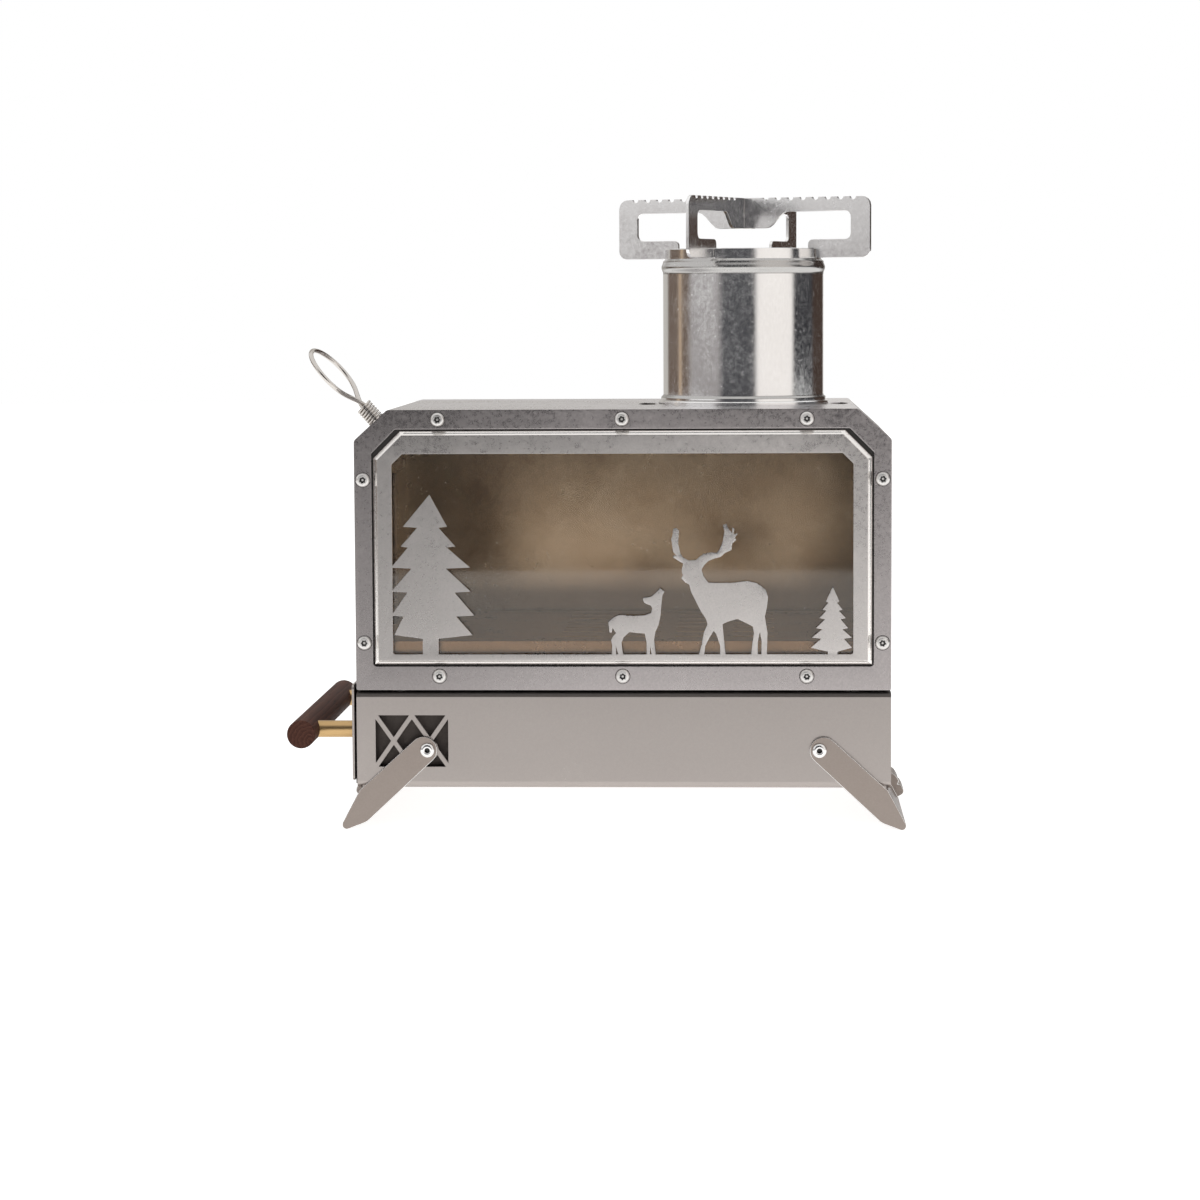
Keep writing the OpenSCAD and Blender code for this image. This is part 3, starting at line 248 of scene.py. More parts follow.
def press_rim(bm, face_y, sides, width, radius):
    """Slopes the rim of a flat face that looks forwards, with a round on each side of the slope.

    Each side of its outline is a point and the direction inwards; the face is cut along each side at the
    steps of the profile and then drawn back by its distance from the rim."""
    turns = [math.pi / 16 * k for k in range(5)]
    inner = [(radius * math.sin(a), radius * (1 - math.cos(a))) for a in turns]
    steps = inner + [(width - back, width - out) for out, back in reversed(inner)]

    def on_front(place):
        return place.y < face_y + TOUCH

    for out, _ in steps[:-1]:
        for point, inward in sides:
            faces = [f for f in bm.faces if all(on_front(v.co) for v in f.verts)]
            parts = dict.fromkeys(part for f in faces for part in (f, *f.edges, *f.verts))
            bmesh.ops.bisect_plane(bm, geom=list(parts), plane_co=point + inward * (width - out),
                                   plane_no=inward, dist=WELD)
    for vert in [v for v in bm.verts if on_front(v.co)]:
        out = min(width, width - min((vert.co - point).dot(inward) for point, inward in sides))
        for (out0, back0), (out1, back1) in zip(steps, steps[1:]):
            if out0 < out <= out1:
                vert.co.y += back0 + (back1 - back0) * (out - out0) / (out1 - out0)
                break


def middle_of(edge):
    return (edge.verts[0].co + edge.verts[1].co) / 2


def runs_along(edge, axis):
    """Whether an edge runs along one of the frame's axes."""
    run = edge.verts[1].co - edge.verts[0].co
    return abs(run[axis]) > 0.999 * run.length


def lathe(outline, steps=48, closed=False):
    """Turned shape about Z from its outline of radius and height, in millimetres."""
    bm = bmesh.new()
    verts = [bm.verts.new((r * MM, 0, z * MM)) for r, z in outline]
    ends = list(zip(verts, verts[1:])) + ([(verts[-1], verts[0])] if closed else [])
    edges = [bm.edges.new(pair) for pair in ends]
    bmesh.ops.spin(bm, geom=verts + edges, cent=(0, 0, 0), axis=(0, 0, 1), dvec=(0, 0, 0), angle=TURN,
                   steps=steps, use_merge=True, use_normal_flip=False, use_duplicate=False)
    bmesh.ops.remove_doubles(bm, verts=bm.verts, dist=WELD)
    bmesh.ops.recalc_face_normals(bm, faces=bm.faces)
    return bm


def bow(centre, radius, start, end, steps):
    """Points of a round in an outline, from one angle in degrees to another."""
    turns = [math.radians(start + (end - start) * i / steps) for i in range(steps + 1)]
    return [(centre[0] + radius * math.cos(a), centre[1] + radius * math.sin(a)) for a in turns]


def facing(place, direction, roll=0.0):
    """Placement that takes local Z to a direction."""
    turn = Vector(direction).to_track_quat("Z", "Y").to_matrix().to_4x4()
    return Matrix.Translation(place) @ turn @ Matrix.Rotation(roll, 4, "Z")


def mesh_of(bm, name):
    """The bmesh as a new mesh; the bmesh is used up."""
    mesh = bpy.data.meshes.new(name)
    bm.to_mesh(mesh)
    bm.free()
    return mesh


def object_of(name, data):
    """A new object in the scene."""
    obj = bpy.data.objects.new(name, data)
    bpy.context.scene.collection.objects.link(obj)
    return obj


def join_copies(pattern, placements):
    """One bmesh with a copy of the pattern at each placement; the pattern is used up."""
    mesh, whole = mesh_of(pattern, "pattern"), bmesh.new()
    for placement in placements:
        before = len(whole.verts)
        whole.from_mesh(mesh)
        whole.verts.ensure_lookup_table()
        bmesh.ops.transform(whole, matrix=placement, verts=whole.verts[before:])
    bpy.data.meshes.remove(mesh)
    return whole


def absorb(bm, other):
    """Adds another bmesh to this one and uses it up."""
    mesh = mesh_of(other, "part")
    bm.from_mesh(mesh)
    bpy.data.meshes.remove(mesh)


def add_piece(name, bm, body, slot, node, finish=None, crease=35, second=None, on_second=None):
    """Makes a finished object of a bmesh, shaded smooth between its creases, in the place of a CAD node.

    Its finish has the slot's name where none is given. Faces that pass the on_second test take the second
    finish."""
    bm.normal_update()
    for face in bm.faces:
        face.smooth = True
        if on_second and on_second(face):
            face.material_index = 1
    for edge in bm.edges:
        edge.smooth = len(edge.link_faces) != 2 or edge.calc_face_angle(0) < math.radians(crease)
    mesh = mesh_of(bm, name)
    for key in filter(None, (finish or slot, second)):
        mesh.materials.append(material(key))
    piece = object_of(name, mesh)
    weigh = piece.modifiers.new("even shading", "WEIGHTED_NORMAL")
    weigh.keep_sharp = True
    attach(piece, body)
    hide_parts(node)


def finish_nodes(finish, *nodes):
    """Gives CAD nodes a finish as they are."""
    for node in nodes:
        for slot in frame["nodes"][node].material_slots:
            slot.material = material(finish)


def body_of(node):
    """Name of the body that a CAD node rides on."""
    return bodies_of(frame["nodes"][node])[0]


# ---- material helpers ----


class Board:
    """The nodes of a material or a world."""

    def __init__(self, owner, shader="Principled BSDF"):
        owner.use_nodes = True
        self.owner, self.nodes, self.links = owner, owner.node_tree.nodes, owner.node_tree.links
        self.shader = self.nodes[shader]
        self.place = self.add("ShaderNodeTexCoord").outputs["Object"]

    def finish(self, values):
        """Gives some of the shader's inputs their values, and returns the material or world."""
        self.feed(self.shader, values)
        return self.owner

    def feed(self, node, values):
        """Gives some of a node's inputs a number, a vector, a colour or another node's socket."""
        for key, value in values.items():
            socket = node.inputs[key]
            if isinstance(value, bpy.types.NodeSocket):
                self.links.new(value, socket)
            else:
                socket.default_value = (*value, 1) if socket.type == "RGBA" else value

    def add(self, kind, values=None, **settings):
        """A new node with its settings, and with values for some of its inputs."""
        node = self.nodes.new(kind)
        for name, value in settings.items():
            setattr(node, name, value)
        self.feed(node, values or {})
        return node

    def stretched(self, scale, move=(0, 0, 0), turn=(0, 0, 0)):
        """Object coordinates stretched along the axes."""
        values = {"Scale": scale, "Location": move, "Rotation": turn, "Vector": self.place}
        return self.add("ShaderNodeMapping", values).outputs["Vector"]

    def noise(self, scale, detail=2, rough=0.5, at=None, distortion=0.0):
        values = {"Scale": scale, "Detail": detail, "Roughness": rough, "Distortion": distortion,
                  "Vector": at or self.place}
        return self.add("ShaderNodeTexNoise", values).outputs["Fac"]

    def span(self, value, low, high, from_low=0.3, from_high=0.7):
        """The value taken to a new range."""
        values = {"Value": value, "From Min": from_low, "From Max": from_high, "To Min": low, "To Max": high}
        return self.add("ShaderNodeMapRange", values).outputs["Result"]

    def sum(self, first, second, kind="ADD"):
        return self.add("ShaderNodeMath", {0: first, 1: second}, operation=kind).outputs["Value"]

    def mix(self, amount, low, high, kind="MIX"):
        """Colour between two colours or colour sockets."""
        values = {0: amount, 6: low, 7: high}
        return self.add("ShaderNodeMix", values, data_type="RGBA", blend_type=kind).outputs[2]

    def blend(self, amount, low, high):
        """Value between two values or sockets."""
        return self.add("ShaderNodeMix", {0: amount, 2: low, 3: high}, data_type="FLOAT").outputs[0]

    def apart(self, axis):
        """The object's coordinate along an axis."""
        return self.add("ShaderNodeSeparateXYZ", {"Vector": self.place}).outputs[axis]

    def along(self, axis, first, last):
        """Rises from nought to one between two places along an axis of the object."""
        return self.span(self.apart(axis), 0, 1, first, last)

    def scratch(self, turn):
        """Sparse thin curved lines, as from raked ash and wiped sheets."""
        at = self.stretched((1, 1, 1), move=(0.2 * turn[1], 0.1, 0.3 * turn[2]), turn=turn)
        field = self.sum(self.noise(13, 1, 0.3, at, distortion=0.5), 0.5, "SUBTRACT")
        line = self.span(self.sum(field, 0, "ABSOLUTE"), 1, 0, 0.0, 0.003)
        return self.sum(line, self.span(self.noise(30, 1, 0.4, at), 0, 1, 0.54, 0.62), "MULTIPLY")

    def bump(self, height, depth, strength=1.0):
        node = self.add("ShaderNodeBump", {"Strength": strength, "Distance": depth, "Height": height})
        self.feed(self.shader, {"Normal": node.outputs["Normal"]})

    def seen(self, rays):
        """One for rays that reach the eye straight, mirrored or through glass."""
        most = self.sum(rays["Is Camera Ray"], rays["Is Glossy Ray"], "MAXIMUM")
        return self.sum(most, rays["Is Transmission Ray"], "MAXIMUM")

    def show(self, node):
        """Sends a shader to the material's surface."""
        self.feed(self.nodes["Material Output"], {"Surface": node.outputs[0]})


def new_board(name):
    return Board(bpy.data.materials.new(name))


def shade(tone, factor):
    return tuple(min(max(c * factor, 0), 1) for c in tone)


def steel(name, tone, rough, grain, cloud, wear, depth, streak=None, warm=0.0, specks=0.0, scratches=0.0,
          soot=None, polish=None, fade=None):
    """Sheet steel: a fine grain, faint clouds, a roughness that wanders, and rubbed marks.

    The grain is stretched by streak, so that a brushed sheet shows lines. One setting, given as (axis, place,
    level), paints shade: it darkens what lies beyond a place along an axis, as in a seam or where a head
    meets the frame. Another, given as (axis, place, roughness, tone), smooths what lies beyond a place and
    paints it brighter, a painted highlight. Fade darkens the sheet from one place to another, given as (axis,
    first, last, level)."""
    board = new_board(name)
    fine = board.noise(1500, 3, 0.6, board.stretched(streak) if streak else None)
    spots = board.noise(480, 3, 0.55)
    clouds = board.noise(26, 3, 0.6, distortion=0.6)
    light = board.sum(board.span(fine, -grain, grain), board.span(spots, -grain * 0.6, grain * 0.6, 0.2, 0.8))
    light = board.sum(light, board.span(clouds, -cloud, cloud))
    base = board.mix(board.sum(light, 0.5), shade(tone, 0.72), shade(tone, 1.24))
    if warm:
        stain = board.noise(14, 2, 0.5, distortion=1.0)
        base = board.mix(board.span(stain, 0, warm, 0.45, 0.75), base, (0.46, 0.30, 0.14))
    haze = board.sum(board.span(spots, rough - wear, rough + wear), board.span(clouds, -wear, wear))
    haze = board.sum(haze, board.span(fine, -wear * 0.6, wear * 0.6))
    height = board.sum(fine, spots)
    if specks:
        dust = board.span(board.noise(900, 1, 0.4), 0, specks, 0.66, 0.74)
        haze = board.sum(haze, dust)
        base = board.mix(dust, base, (0.85, 0.85, 0.86))
    if scratches:
        lines = board.sum(board.scratch((0.35, 1.0, 0.9)), board.scratch((1.0, 0.4, -0.8)), "MAXIMUM")
        base = board.mix(board.sum(lines, scratches, "MULTIPLY"), base, (0.95, 0.86, 0.70))
        height = board.sum(height, board.sum(lines, 0.3, "MULTIPLY"), "SUBTRACT")
    if fade:
        axis, first, last, level = fade
        base = board.mix(board.along(axis, first, last), base, (level, level, level), "MULTIPLY")
    edge = 0.1 * MM
    # real polish and a painted highlight: what lies beyond the place is smoother and painted brighter
    if polish:
        axis, place, level, bright = polish
        smooth = board.along(axis, place, place + edge)
        haze = board.blend(smooth, haze, level)
        base = board.mix(smooth, base, bright)
    # painted shade: what lies beyond the place is painted dark
    if soot:
        axis, place, level = soot
        black = board.along(axis, place, place + edge)
        base = board.mix(black, base, shade(tone, level))
        haze = board.blend(black, haze, 0.6)
    board.bump(height, depth * MM)
    return board.finish({"Base Color": base, "Metallic": 1.0, "Roughness": haze})


def steels():
    """What sets each steel apart: the first arguments of steel() after its name, and then the others."""
    f = finishes()
    bezel, front, lip = (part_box(node)[0].y for node in ("window_bezel", "front_frame", "fire_grate"))
    roof, base = (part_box(node)[1].z for node in ("firebox_shell", "base_housing"))
    satin = f.satin_steel, f.satin_polish
    return {
        # tone, roughness, grain, cloud, wear, depth
        # painted shade: darker towards -X, its left side seen from the front
        "tumbled_steel": (f.frame_steel, 0.30, 0.19, 0.10, 0.05, 0.004, {"fade": ("X", 0, -0.08, 0.72)}),
        # darker towards its left, a painted shade; its sloping rim and cut walls are smoother and painted
        # brighter, a painted highlight; its rear, in the seam behind it, is painted dark as shade
        "bezel_steel": (f.bezel_steel, 0.31, 0.13, 0.10, 0.05, 0.003, {
            "fade": ("X", 0.06, -0.08, 0.72), "soot": ("Y", bezel + 2.3 * MM, 0.1),
            "polish": ("Y", bezel + 0.10 * MM, 0.16, (0.86, 0.83, 0.80))}),
        "shell_steel": (f.shell_steel, 0.30, 0.08, 0.08, 0.05, 0.004, {}),
        # a brighter copy of the shell steel: painted light on the top, and painted shade that darkens it down
        # its sides
        "roof_steel": (f.roof_steel, 0.30, 0.08, 0.08, 0.05, 0.004, {
            "fade": ("Z", roof - 0.6 * MM, roof - 2.5 * MM, 0.54)}),
        "satin_steel": (*satin, 0.07, 0.05, 0.035, 0.003, {}),
        # painted shade: its rolled upper edge, in the seam, is painted dark
        "base_steel": (*satin, 0.06, 0.05, 0.035, 0.003, {"soot": ("Z", base - 1.9 * MM, 0.32)}),
        # painted shade: the satin steel made darker for the legs
        "leg_steel": (f.leg_steel, f.satin_polish, 0.08, 0.08, 0.04, 0.003, {}),
        "tray_steel": (f.tray_steel, 0.5, 0.25, 0.25, 0.08, 0.02, {}),
        "mirror_steel": (f.mirror_steel, f.pipe_polish, 0.06, 0.05, 0.045, 0.0016, {
            "streak": (1, 1, 0.25), "specks": 0.08}),
        "stand_steel": (f.stand_steel, 0.20, 0.12, 0.06, 0.05, 0.004, {}),
        # the pipe's bead and its flared foot: rougher, and a darker copy of the mirror steel, a painted shade
        "bead_steel": (shade(f.mirror_steel, 0.5), 0.25, 0.04, 0.04, 0.03, 0.0008, {}),
        "bright_steel": (f.bright_steel, 0.36, 0.10, 0.05, 0.06, 0.002, {}),
        # painted shadow: a dark ring where a head meets the frame
        "screw_steel": (f.bright_steel, 0.40, 0.12, 0.08, 0.07, 0.004, {
            "soot": ("Y", front - 0.4 * MM, 0.1)}),
        # painted shade on the floor and walls of a driving socket and of a rivet's bore
        "socket_steel": (shade(f.bright_steel, 0.16), 0.5, 0.10, 0.08, 0.05, 0.002, {}),
        "rivet_steel": (shade(f.bright_steel, 1.15), 0.15, 0.06, 0.04, 0.03, 0.002, {}),
        "wire_steel": (f.wire_steel, 0.18, 0.08, 0.04, 0.05, 0.002, {}),
        "fired_steel": (f.fired_steel, 0.34, 0.12, 0.15, 0.06, 0.004, {
            "warm": 0.35, "fade": ("Y", lip + 1.3 * MM, lip + 1.1 * MM, 0.62)}),
        "hearth_steel": (f.hearth_steel, 0.24, 0.04, 0.24, 0.02, 0.0008, {
            "warm": 0.2, "scratches": 0.24, "specks": 0.02, "fade": ("Z", 0.105, 0.168, 0.50)}),
    }


def make_brass():
    """Drawn brass: fine lines along the post and a warm drift of tone."""
    board, tone = new_board("drawn brass"), finishes().brass
    lines = board.noise(2600, 2, 0.5, board.stretched((0.04, 1, 1)))
    light = board.sum(board.span(lines, 0.3, 0.7), board.span(board.noise(70, 2, 0.5), -0.2, 0.2))
    base = board.mix(light, shade(tone, 0.78), shade(tone, 1.14))
    board.bump(lines, 0.003 * MM)
    return board.finish({"Base Color": base, "Metallic": 1.0, "Roughness": board.span(lines, 0.30, 0.40)})


def make_walnut():
    """Oiled walnut: growth rings about a heart beside the bar, pores and long fibres along Y."""
    board, light, dark = new_board("walnut"), finishes().walnut_light, finishes().walnut_dark
    low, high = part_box("handle_dowel")
    heart = (low + high) / 2 + Vector((4.2, 0, -3.0)) * MM
    values = {"Scale": 190, "Distortion": 5, "Detail": 3, "Detail Scale": 1.4,
              "Vector": board.stretched((1, 0.045, 1), move=(-heart.x, 0, -heart.z))}
    rings = board.add("ShaderNodeTexWave", values, wave_type="RINGS", rings_direction="Y", wave_profile="SAW")
    fibres = board.noise(2300, 4, 0.65, board.stretched((1, 0.03, 1)))
    pores = board.noise(1500, 2, 0.5, board.stretched((1, 0.05, 1), move=(0.3, 0.1, 0.2)))
    tone = board.sum(board.sum(rings.outputs["Fac"], 0.55, "MULTIPLY"), board.span(fibres, -0.05, 0.5))
    base = board.mix(board.span(pores, 0, 0.75, 0.62, 0.72), board.mix(tone, dark, light), shade(dark, 0.45))
    board.bump(board.sum(fibres, board.sum(pores, 0.5, "MULTIPLY"), "SUBTRACT"), 0.05 * MM, 0.6)
    return board.finish({"Base Color": base, "Roughness": board.span(fibres, 0.58, 0.70),
                         "Specular IOR Level": 0.16})


def make_glass():
    """Amber ceramic glass that still lets lamplight through to the fire."""
    board = new_board("amber glass")
    clear = board.add("ShaderNodeBsdfTransparent", {"Color": (0.92, 0.86, 0.78)})
    shadow = board.add("ShaderNodeLightPath").outputs["Is Shadow Ray"]
    board.show(board.add("ShaderNodeMixShader", {0: shadow, 1: board.shader.outputs["BSDF"],
                                                 2: clear.outputs["BSDF"]}))
    return board.finish({"Base Color": finishes().glass, "Transmission Weight": 1.0, "IOR": 1.5,
                         "Roughness": board.span(board.noise(60, 2), 0.015, 0.04)})


def make_gasket():
    """Woven fibre tape: two crossed runs of threads and scattered lighter fibres."""
    board, tone = new_board("woven fibre"), finishes().gasket
    values = {"Scale": 420, "Distortion": 1.5, "Vector": board.place}
    across = board.add("ShaderNodeTexWave", values, bands_direction="DIAGONAL").outputs["Fac"]
    fibres = board.noise(1800, 3)
    weave = board.sum(board.sum(across, 0.5, "MULTIPLY"), board.span(fibres, 0, 0.5))
    board.bump(weave, 0.15 * MM)
    return board.finish({"Base Color": board.mix(weave, shade(tone, 0.6), shade(tone, 1.5)),
                         "Roughness": board.span(fibres, 0.8, 0.95)})


MAKERS = {"brass": make_brass, "walnut": make_walnut, "amber_glass": make_glass, "fibre_gasket": make_gasket}
made = {}


def material(key):
    """The named finish; all the steels are made at the first call, and the others when they are needed."""
    if not made:
        for name, (*first, others) in steels().items():
            made[name] = steel(name.replace("_", " "), *first, **others)
    if key not in made:
        made[key] = MAKERS[key]()
    return made[key]


# ---- pieces ----


class StoveOperator:
    """What the stove's operators share."""

    bl_options = {"REGISTER", "UNDO"}


def dress_sheet(node, slot, width, finish=None, folds=None, chosen=None, other="hearth_steel"):
    """A CAD sheet with worn edges of a width in millimetres; folds, if given, rounds its folds first.

    Chosen is a test for the faces that take the other finish."""
    bm = sheet_of(node)
    if folds:
        folds(bm)
    round_edges(bm, width * MM)
    add_piece("finished_" + node, bm, body_of(node), slot, node, finish, second=other if chosen else None,
              on_second=chosen)


def looks_inwards():
    """Test for the firebox sheet's faces that look onto the fire."""
    low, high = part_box("firebox_shell")
    centre = (low + high) / 2

    def inwards(face):
        spot = face.calc_center_median()
        well_in = all(low[k] + 0.3 * MM < spot[k] < high[k] - 0.3 * MM for k in range(3))
        return well_in and face.normal.dot(centre - spot) > 0

    return inwards


class STOVE_OT_firebox(StoveOperator, bpy.types.Operator):
    """Finish the firebox: its folded sheet, front frame, back panel and fuel door"""

    bl_idname = "stove.firebox"
    bl_label = "Firebox Sheets"

    def execute(self, context):
        dress_sheet("front_frame", "tumbled_steel", 0.38)
        dress_sheet("back_panel", "tumbled_steel", 0.22, chosen=lambda face: face.normal.y < -0.9)
        dress_sheet("firebox_shell", "shell_steel", 0.12, "roof_steel", chosen=looks_inwards())

        def door_folds(bm):
            """Rounds the outer corner of each long fold, and then the inner one, a sheet inside it."""
            low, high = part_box("fuel_door")
            sheet = 1 * MM
            for depth, slack, size, segments in ((0, 0.1, 1, 4), (sheet, 0.3, 0.4, 3)):
                found = {e for e in bm.edges if runs_along(e, 1) and e.calc_length() > 0.05
                         and abs(middle_of(e).x - low.x - depth) < slack * MM
                         and (depth == 0 or middle_of(e).z < high.z - 5 * MM)}
                round_edges(bm, sizes().fold_round * size, segments, 20, lambda e: e in found)

        dress_sheet("fuel_door", "shell_steel", 0.12, folds=door_folds,
                    chosen=lambda face: face.normal.x > 0.5)
        return {"FINISHED"}


class STOVE_OT_window(StoveOperator, bpy.types.Operator):
    """Finish the window: its pressed bezel with the forest figures, glass, gasket and clips"""

    bl_idname = "stove.window"
    bl_label = "Window"

    def execute(self, context):
        bm = sheet_of("window_bezel")
        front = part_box("window_bezel")[0].y + TOUCH
        low, high = corners([v for v in bm.verts if v.co.y < front])
        cut = 14 * MM  # how far in from a corner an edge still belongs to its slope

        def on_front(part):
            return all(v.co.y < front for v in part.verts)

        def on_rim(edge):
            if not on_front(edge) or edge.calc_face_angle(0) < 1:
                return False
            spot = middle_of(edge)
            left, right, under, over = spot.x - low.x, high.x - spot.x, spot.z - low.z, high.z - spot.z
            return min(left, right, under, over) < 0.5 * MM or left + over < cut or right + over < cut

        round_edges(bm, 0.22 * MM, chosen=lambda edge: on_front(edge) and not on_rim(edge))
        bmesh.ops.triangulate(bm, faces=[f for f in bm.faces if on_front(f)])
        square_corners(bm, on_rim, 1 * MM)

        def least_slope():
            return min(v.co.x - low.x + high.z - v.co.z for v in bm.verts if v.co.y < front)

        # Each sloping corner grows a little towards the frame; its ends slide along the sides that it joins
        reach = least_slope() + 0.3 * MM
        for vert in bm.verts:
            for side, way in ((low.x, 1), (high.x, -1)):
                along, down = (vert.co.x - side) * way, high.z - vert.co.z
                if min(along, down) > -TOUCH and along + down < reach:
                    vert.co.x -= way * sizes().bezel_grow * along / (along + down)
                    vert.co.z += sizes().bezel_grow * down / (along + down)
        slope = least_slope()
        right, up = Vector((1, 0, 0)), Vector((0, 0, 1))
        sides = [(low, right), (high, -right), (low, up), (high, -up),
                 (Vector((low.x + slope, 0, high.z)), (right - up).normalized()),
                 (Vector((high.x - slope, 0, high.z)), (-right - up).normalized())]
        press_rim(bm, low.y, sides, sizes().bezel_slope, 0.5 * MM)
        add_piece("pressed_bezel", bm, "stove_body", "bezel_steel", "window_bezel")
        finish_nodes("amber_glass", "glass_pane")
        finish_nodes("fibre_gasket", "glass_gasket")
        dress_sheet("glass_clips", "satin_steel", 0.15)
        finish_nodes("bright_steel", "clip_rivets")
        return {"FINISHED"}


def shade_bore(bm, inner, outer, above):
    """Gives the faces between two radii and above a height, in millimetres, the second material, which paints
    shade into the recess.
    """
    for face in bm.faces:
        spot = face.calc_center_median() / MM
        if spot.z > above and inner < math.hypot(spot.x, spot.y) < outer:
            face.material_index = 1


def button_screw(head_r, head_h, socket_r, shank_r, depth):
    """Button head screw along Z, its seat at nought, with a six-lobed socket; in millimetres."""
    floor, pin = head_h * 0.2, head_h * 0.68
    shoulder, crown = socket_r + 0.25, head_r - 0.35
    outline = [(0, -depth), (shank_r - 0.25, -depth), (shank_r, 0.3 - depth), (shank_r, 0),
               (head_r - 0.1, 0), (head_r, 0.1), (head_r - 0.32, head_h * 0.3)]
    outline += [(shoulder + (crown - shoulder) * x, head_h * (0.32 + 0.68 * z))
                for x, z in bow((0, 0), 1, 0, 75, 8)]
    outline += [(socket_r, head_h * 0.95), (socket_r * 0.94, head_h * 0.86), (socket_r * 0.9, floor),
                (socket_r * 0.44, floor), (socket_r * 0.4, pin - 0.1), (socket_r * 0.3, pin), (0, pin)]
    bm = lathe(outline)
    for vert in bm.verts:
        radius = math.hypot(vert.co.x, vert.co.y)
        if vert.co.z > floor * MM - WELD and 0.5 < radius / (socket_r * MM) < 1.001:
            lobes = 0.95 + 0.13 * math.cos(6 * math.atan2(vert.co.y, vert.co.x))
            vert.co.x *= lobes
            vert.co.y *= lobes
    # painted shade on the socket's walls and floor; the pin's top stays bright
    shade_bore(bm, socket_r * 0.38, socket_r, 0)
    return bm


class STOVE_OT_fasteners(StoveOperator, bpy.types.Operator):
    """Model the six-lobed screws and finish the nuts and washers"""

    bl_idname = "stove.fasteners"
    bl_label = "Fasteners"

    def execute(self, context):
        # head radius, head height, socket radius and shank radius, in millimetres
        button, small = (3.2, 1.7, 1.35, 1.5), (1.9, 1.0, 0.75, 1.03)
        # node, axis of the screws, the way their heads face, size
        sets = [("front_screws", 1, -1, button), ("back_screws", 1, 1, button), ("base_screws", 2, 1, button),
                ("hinge_screws", 1, 1, small), ("post_screws", 0, 1, button)]
        turn = 0.37  # radians from one screw's socket to the next one's
        for node, axis, way, size in sets:
            head_h, placements = size[1], []
            for k, (low, high) in enumerate(loose_parts(node)):
                depth = (high - low)[axis] / MM - head_h
                seat = (low + high) / 2
                seat[axis] = (high if way > 0 else low)[axis] - way * head_h * MM
                direction = Vector((0, 0, 0))
                direction[axis] = way
                placements.append(facing(seat, direction, turn * k))
            bm = join_copies(button_screw(*size, depth), placements)
            finish = "screw_steel" if node == "front_screws" else "bright_steel"
            add_piece("six_lobed_" + node, bm, body_of(node), "bright_fasteners", node, finish,
                      second="socket_steel")
        for node in ("front_nuts", "back_nuts", "base_nuts", "handle_nut"):
            bm = sheet_of(node)
            round_edges(bm, 0.18 * MM, least=40)
            add_piece("finished_" + node, bm, body_of(node), "bright_fasteners", node, "bright_steel")
        finish_nodes("bright_steel", "base_spacers", "leg_washers")
        return {"FINISHED"}


class STOVE_OT_hearth(StoveOperator, bpy.types.Operator):
    """Finish the grate, the ash drawer's tray and its rails"""

    bl_idname = "stove.hearth"
    bl_label = "Grate and Ash Tray"

    def execute(self, context):
        dress_sheet("fire_grate", "fired_steel", 0.2)
        dress_sheet("ash_drawer", "satin_steel", 0.25, "tray_steel")
        finish_nodes("tray_steel", "drawer_rails")
        return {"FINISHED"}


class STOVE_OT_base(StoveOperator, bpy.types.Operator):
    """Finish the base housing and the drawer's front plate"""

    bl_idname = "stove.base"
    bl_label = "Base"

    def execute(self, context):
        dress_sheet("base_housing", "satin_steel", 0.12, "base_steel")
        dress_sheet("drawer_front", "satin_steel", 0.2)
        return {"FINISHED"}


class STOVE_OT_legs(StoveOperator, bpy.types.Operator):
    """Finish the two folding legs and model their rolled hollow rivets"""

    bl_idname = "stove.legs"
    bl_label = "Legs"

    def execute(self, context):
        for node in ("left_leg", "right_leg"):
            # painted highlight: their rounded edges take the bright rivet steel; the rest takes the darker
            # leg steel, a painted shade
            dress_sheet(node, "satin_steel", 0.22, "leg_steel", other="rivet_steel",
                        chosen=lambda face: 0.15 < abs(face.normal.y) < 0.95)
        rivets, placements = loose_parts("leg_rivets"), []
        for low, high in rivets:
            spot = (low + high) / 2
            way = 1 if spot.y > 0 else -1
            spot.y = (high if way > 0 else low).y
            placements.append(facing(spot, (0, way, 0)))
        # In millimetres, along Z, with the top of the head at nought
        deep = (rivets[0][1] - rivets[0][0]).y / MM
        head_r, head_h, shank_r, bore = 3.2, 1.5, 1.5, 1.0
        lip = (head_r - bore) * 0.3
        outline = [(0, 0.4 - deep), (1.0, 0.4 - deep), (1.3, -deep), (2.0, -deep), (2.4, 0.3 - deep),
                   (2.4, 0.8 - deep), (shank_r, 0.8 - deep), (shank_r, -head_h), (head_r - 0.12, -head_h),
                   (head_r, 0.12 - head_h)]
        outline += [(bore + lip + (head_r - bore - lip) * x, head_h * 0.92 * (z - 1))
                    for x, z in bow((0, 0), 1, 12, 90, 7)]
        outline += [(bore + lip * (1 - x), lip * 0.8 * (z - 1)) for x, z in bow((0, 0), 1, 75, 0, 5)]
        outline += [(bore * 0.8, -deep * 0.5), (0, -deep * 0.5)]
        rivet = lathe(outline)
        # painted shade inside each rivet's bore
        shade_bore(rivet, 0, bore * 0.99, -deep * 0.6)
        add_piece("rolled_rivets", join_copies(rivet, placements), "stove_body", "bright_fasteners",
                  "leg_rivets", "rivet_steel", second="socket_steel")
        return {"FINISHED"}


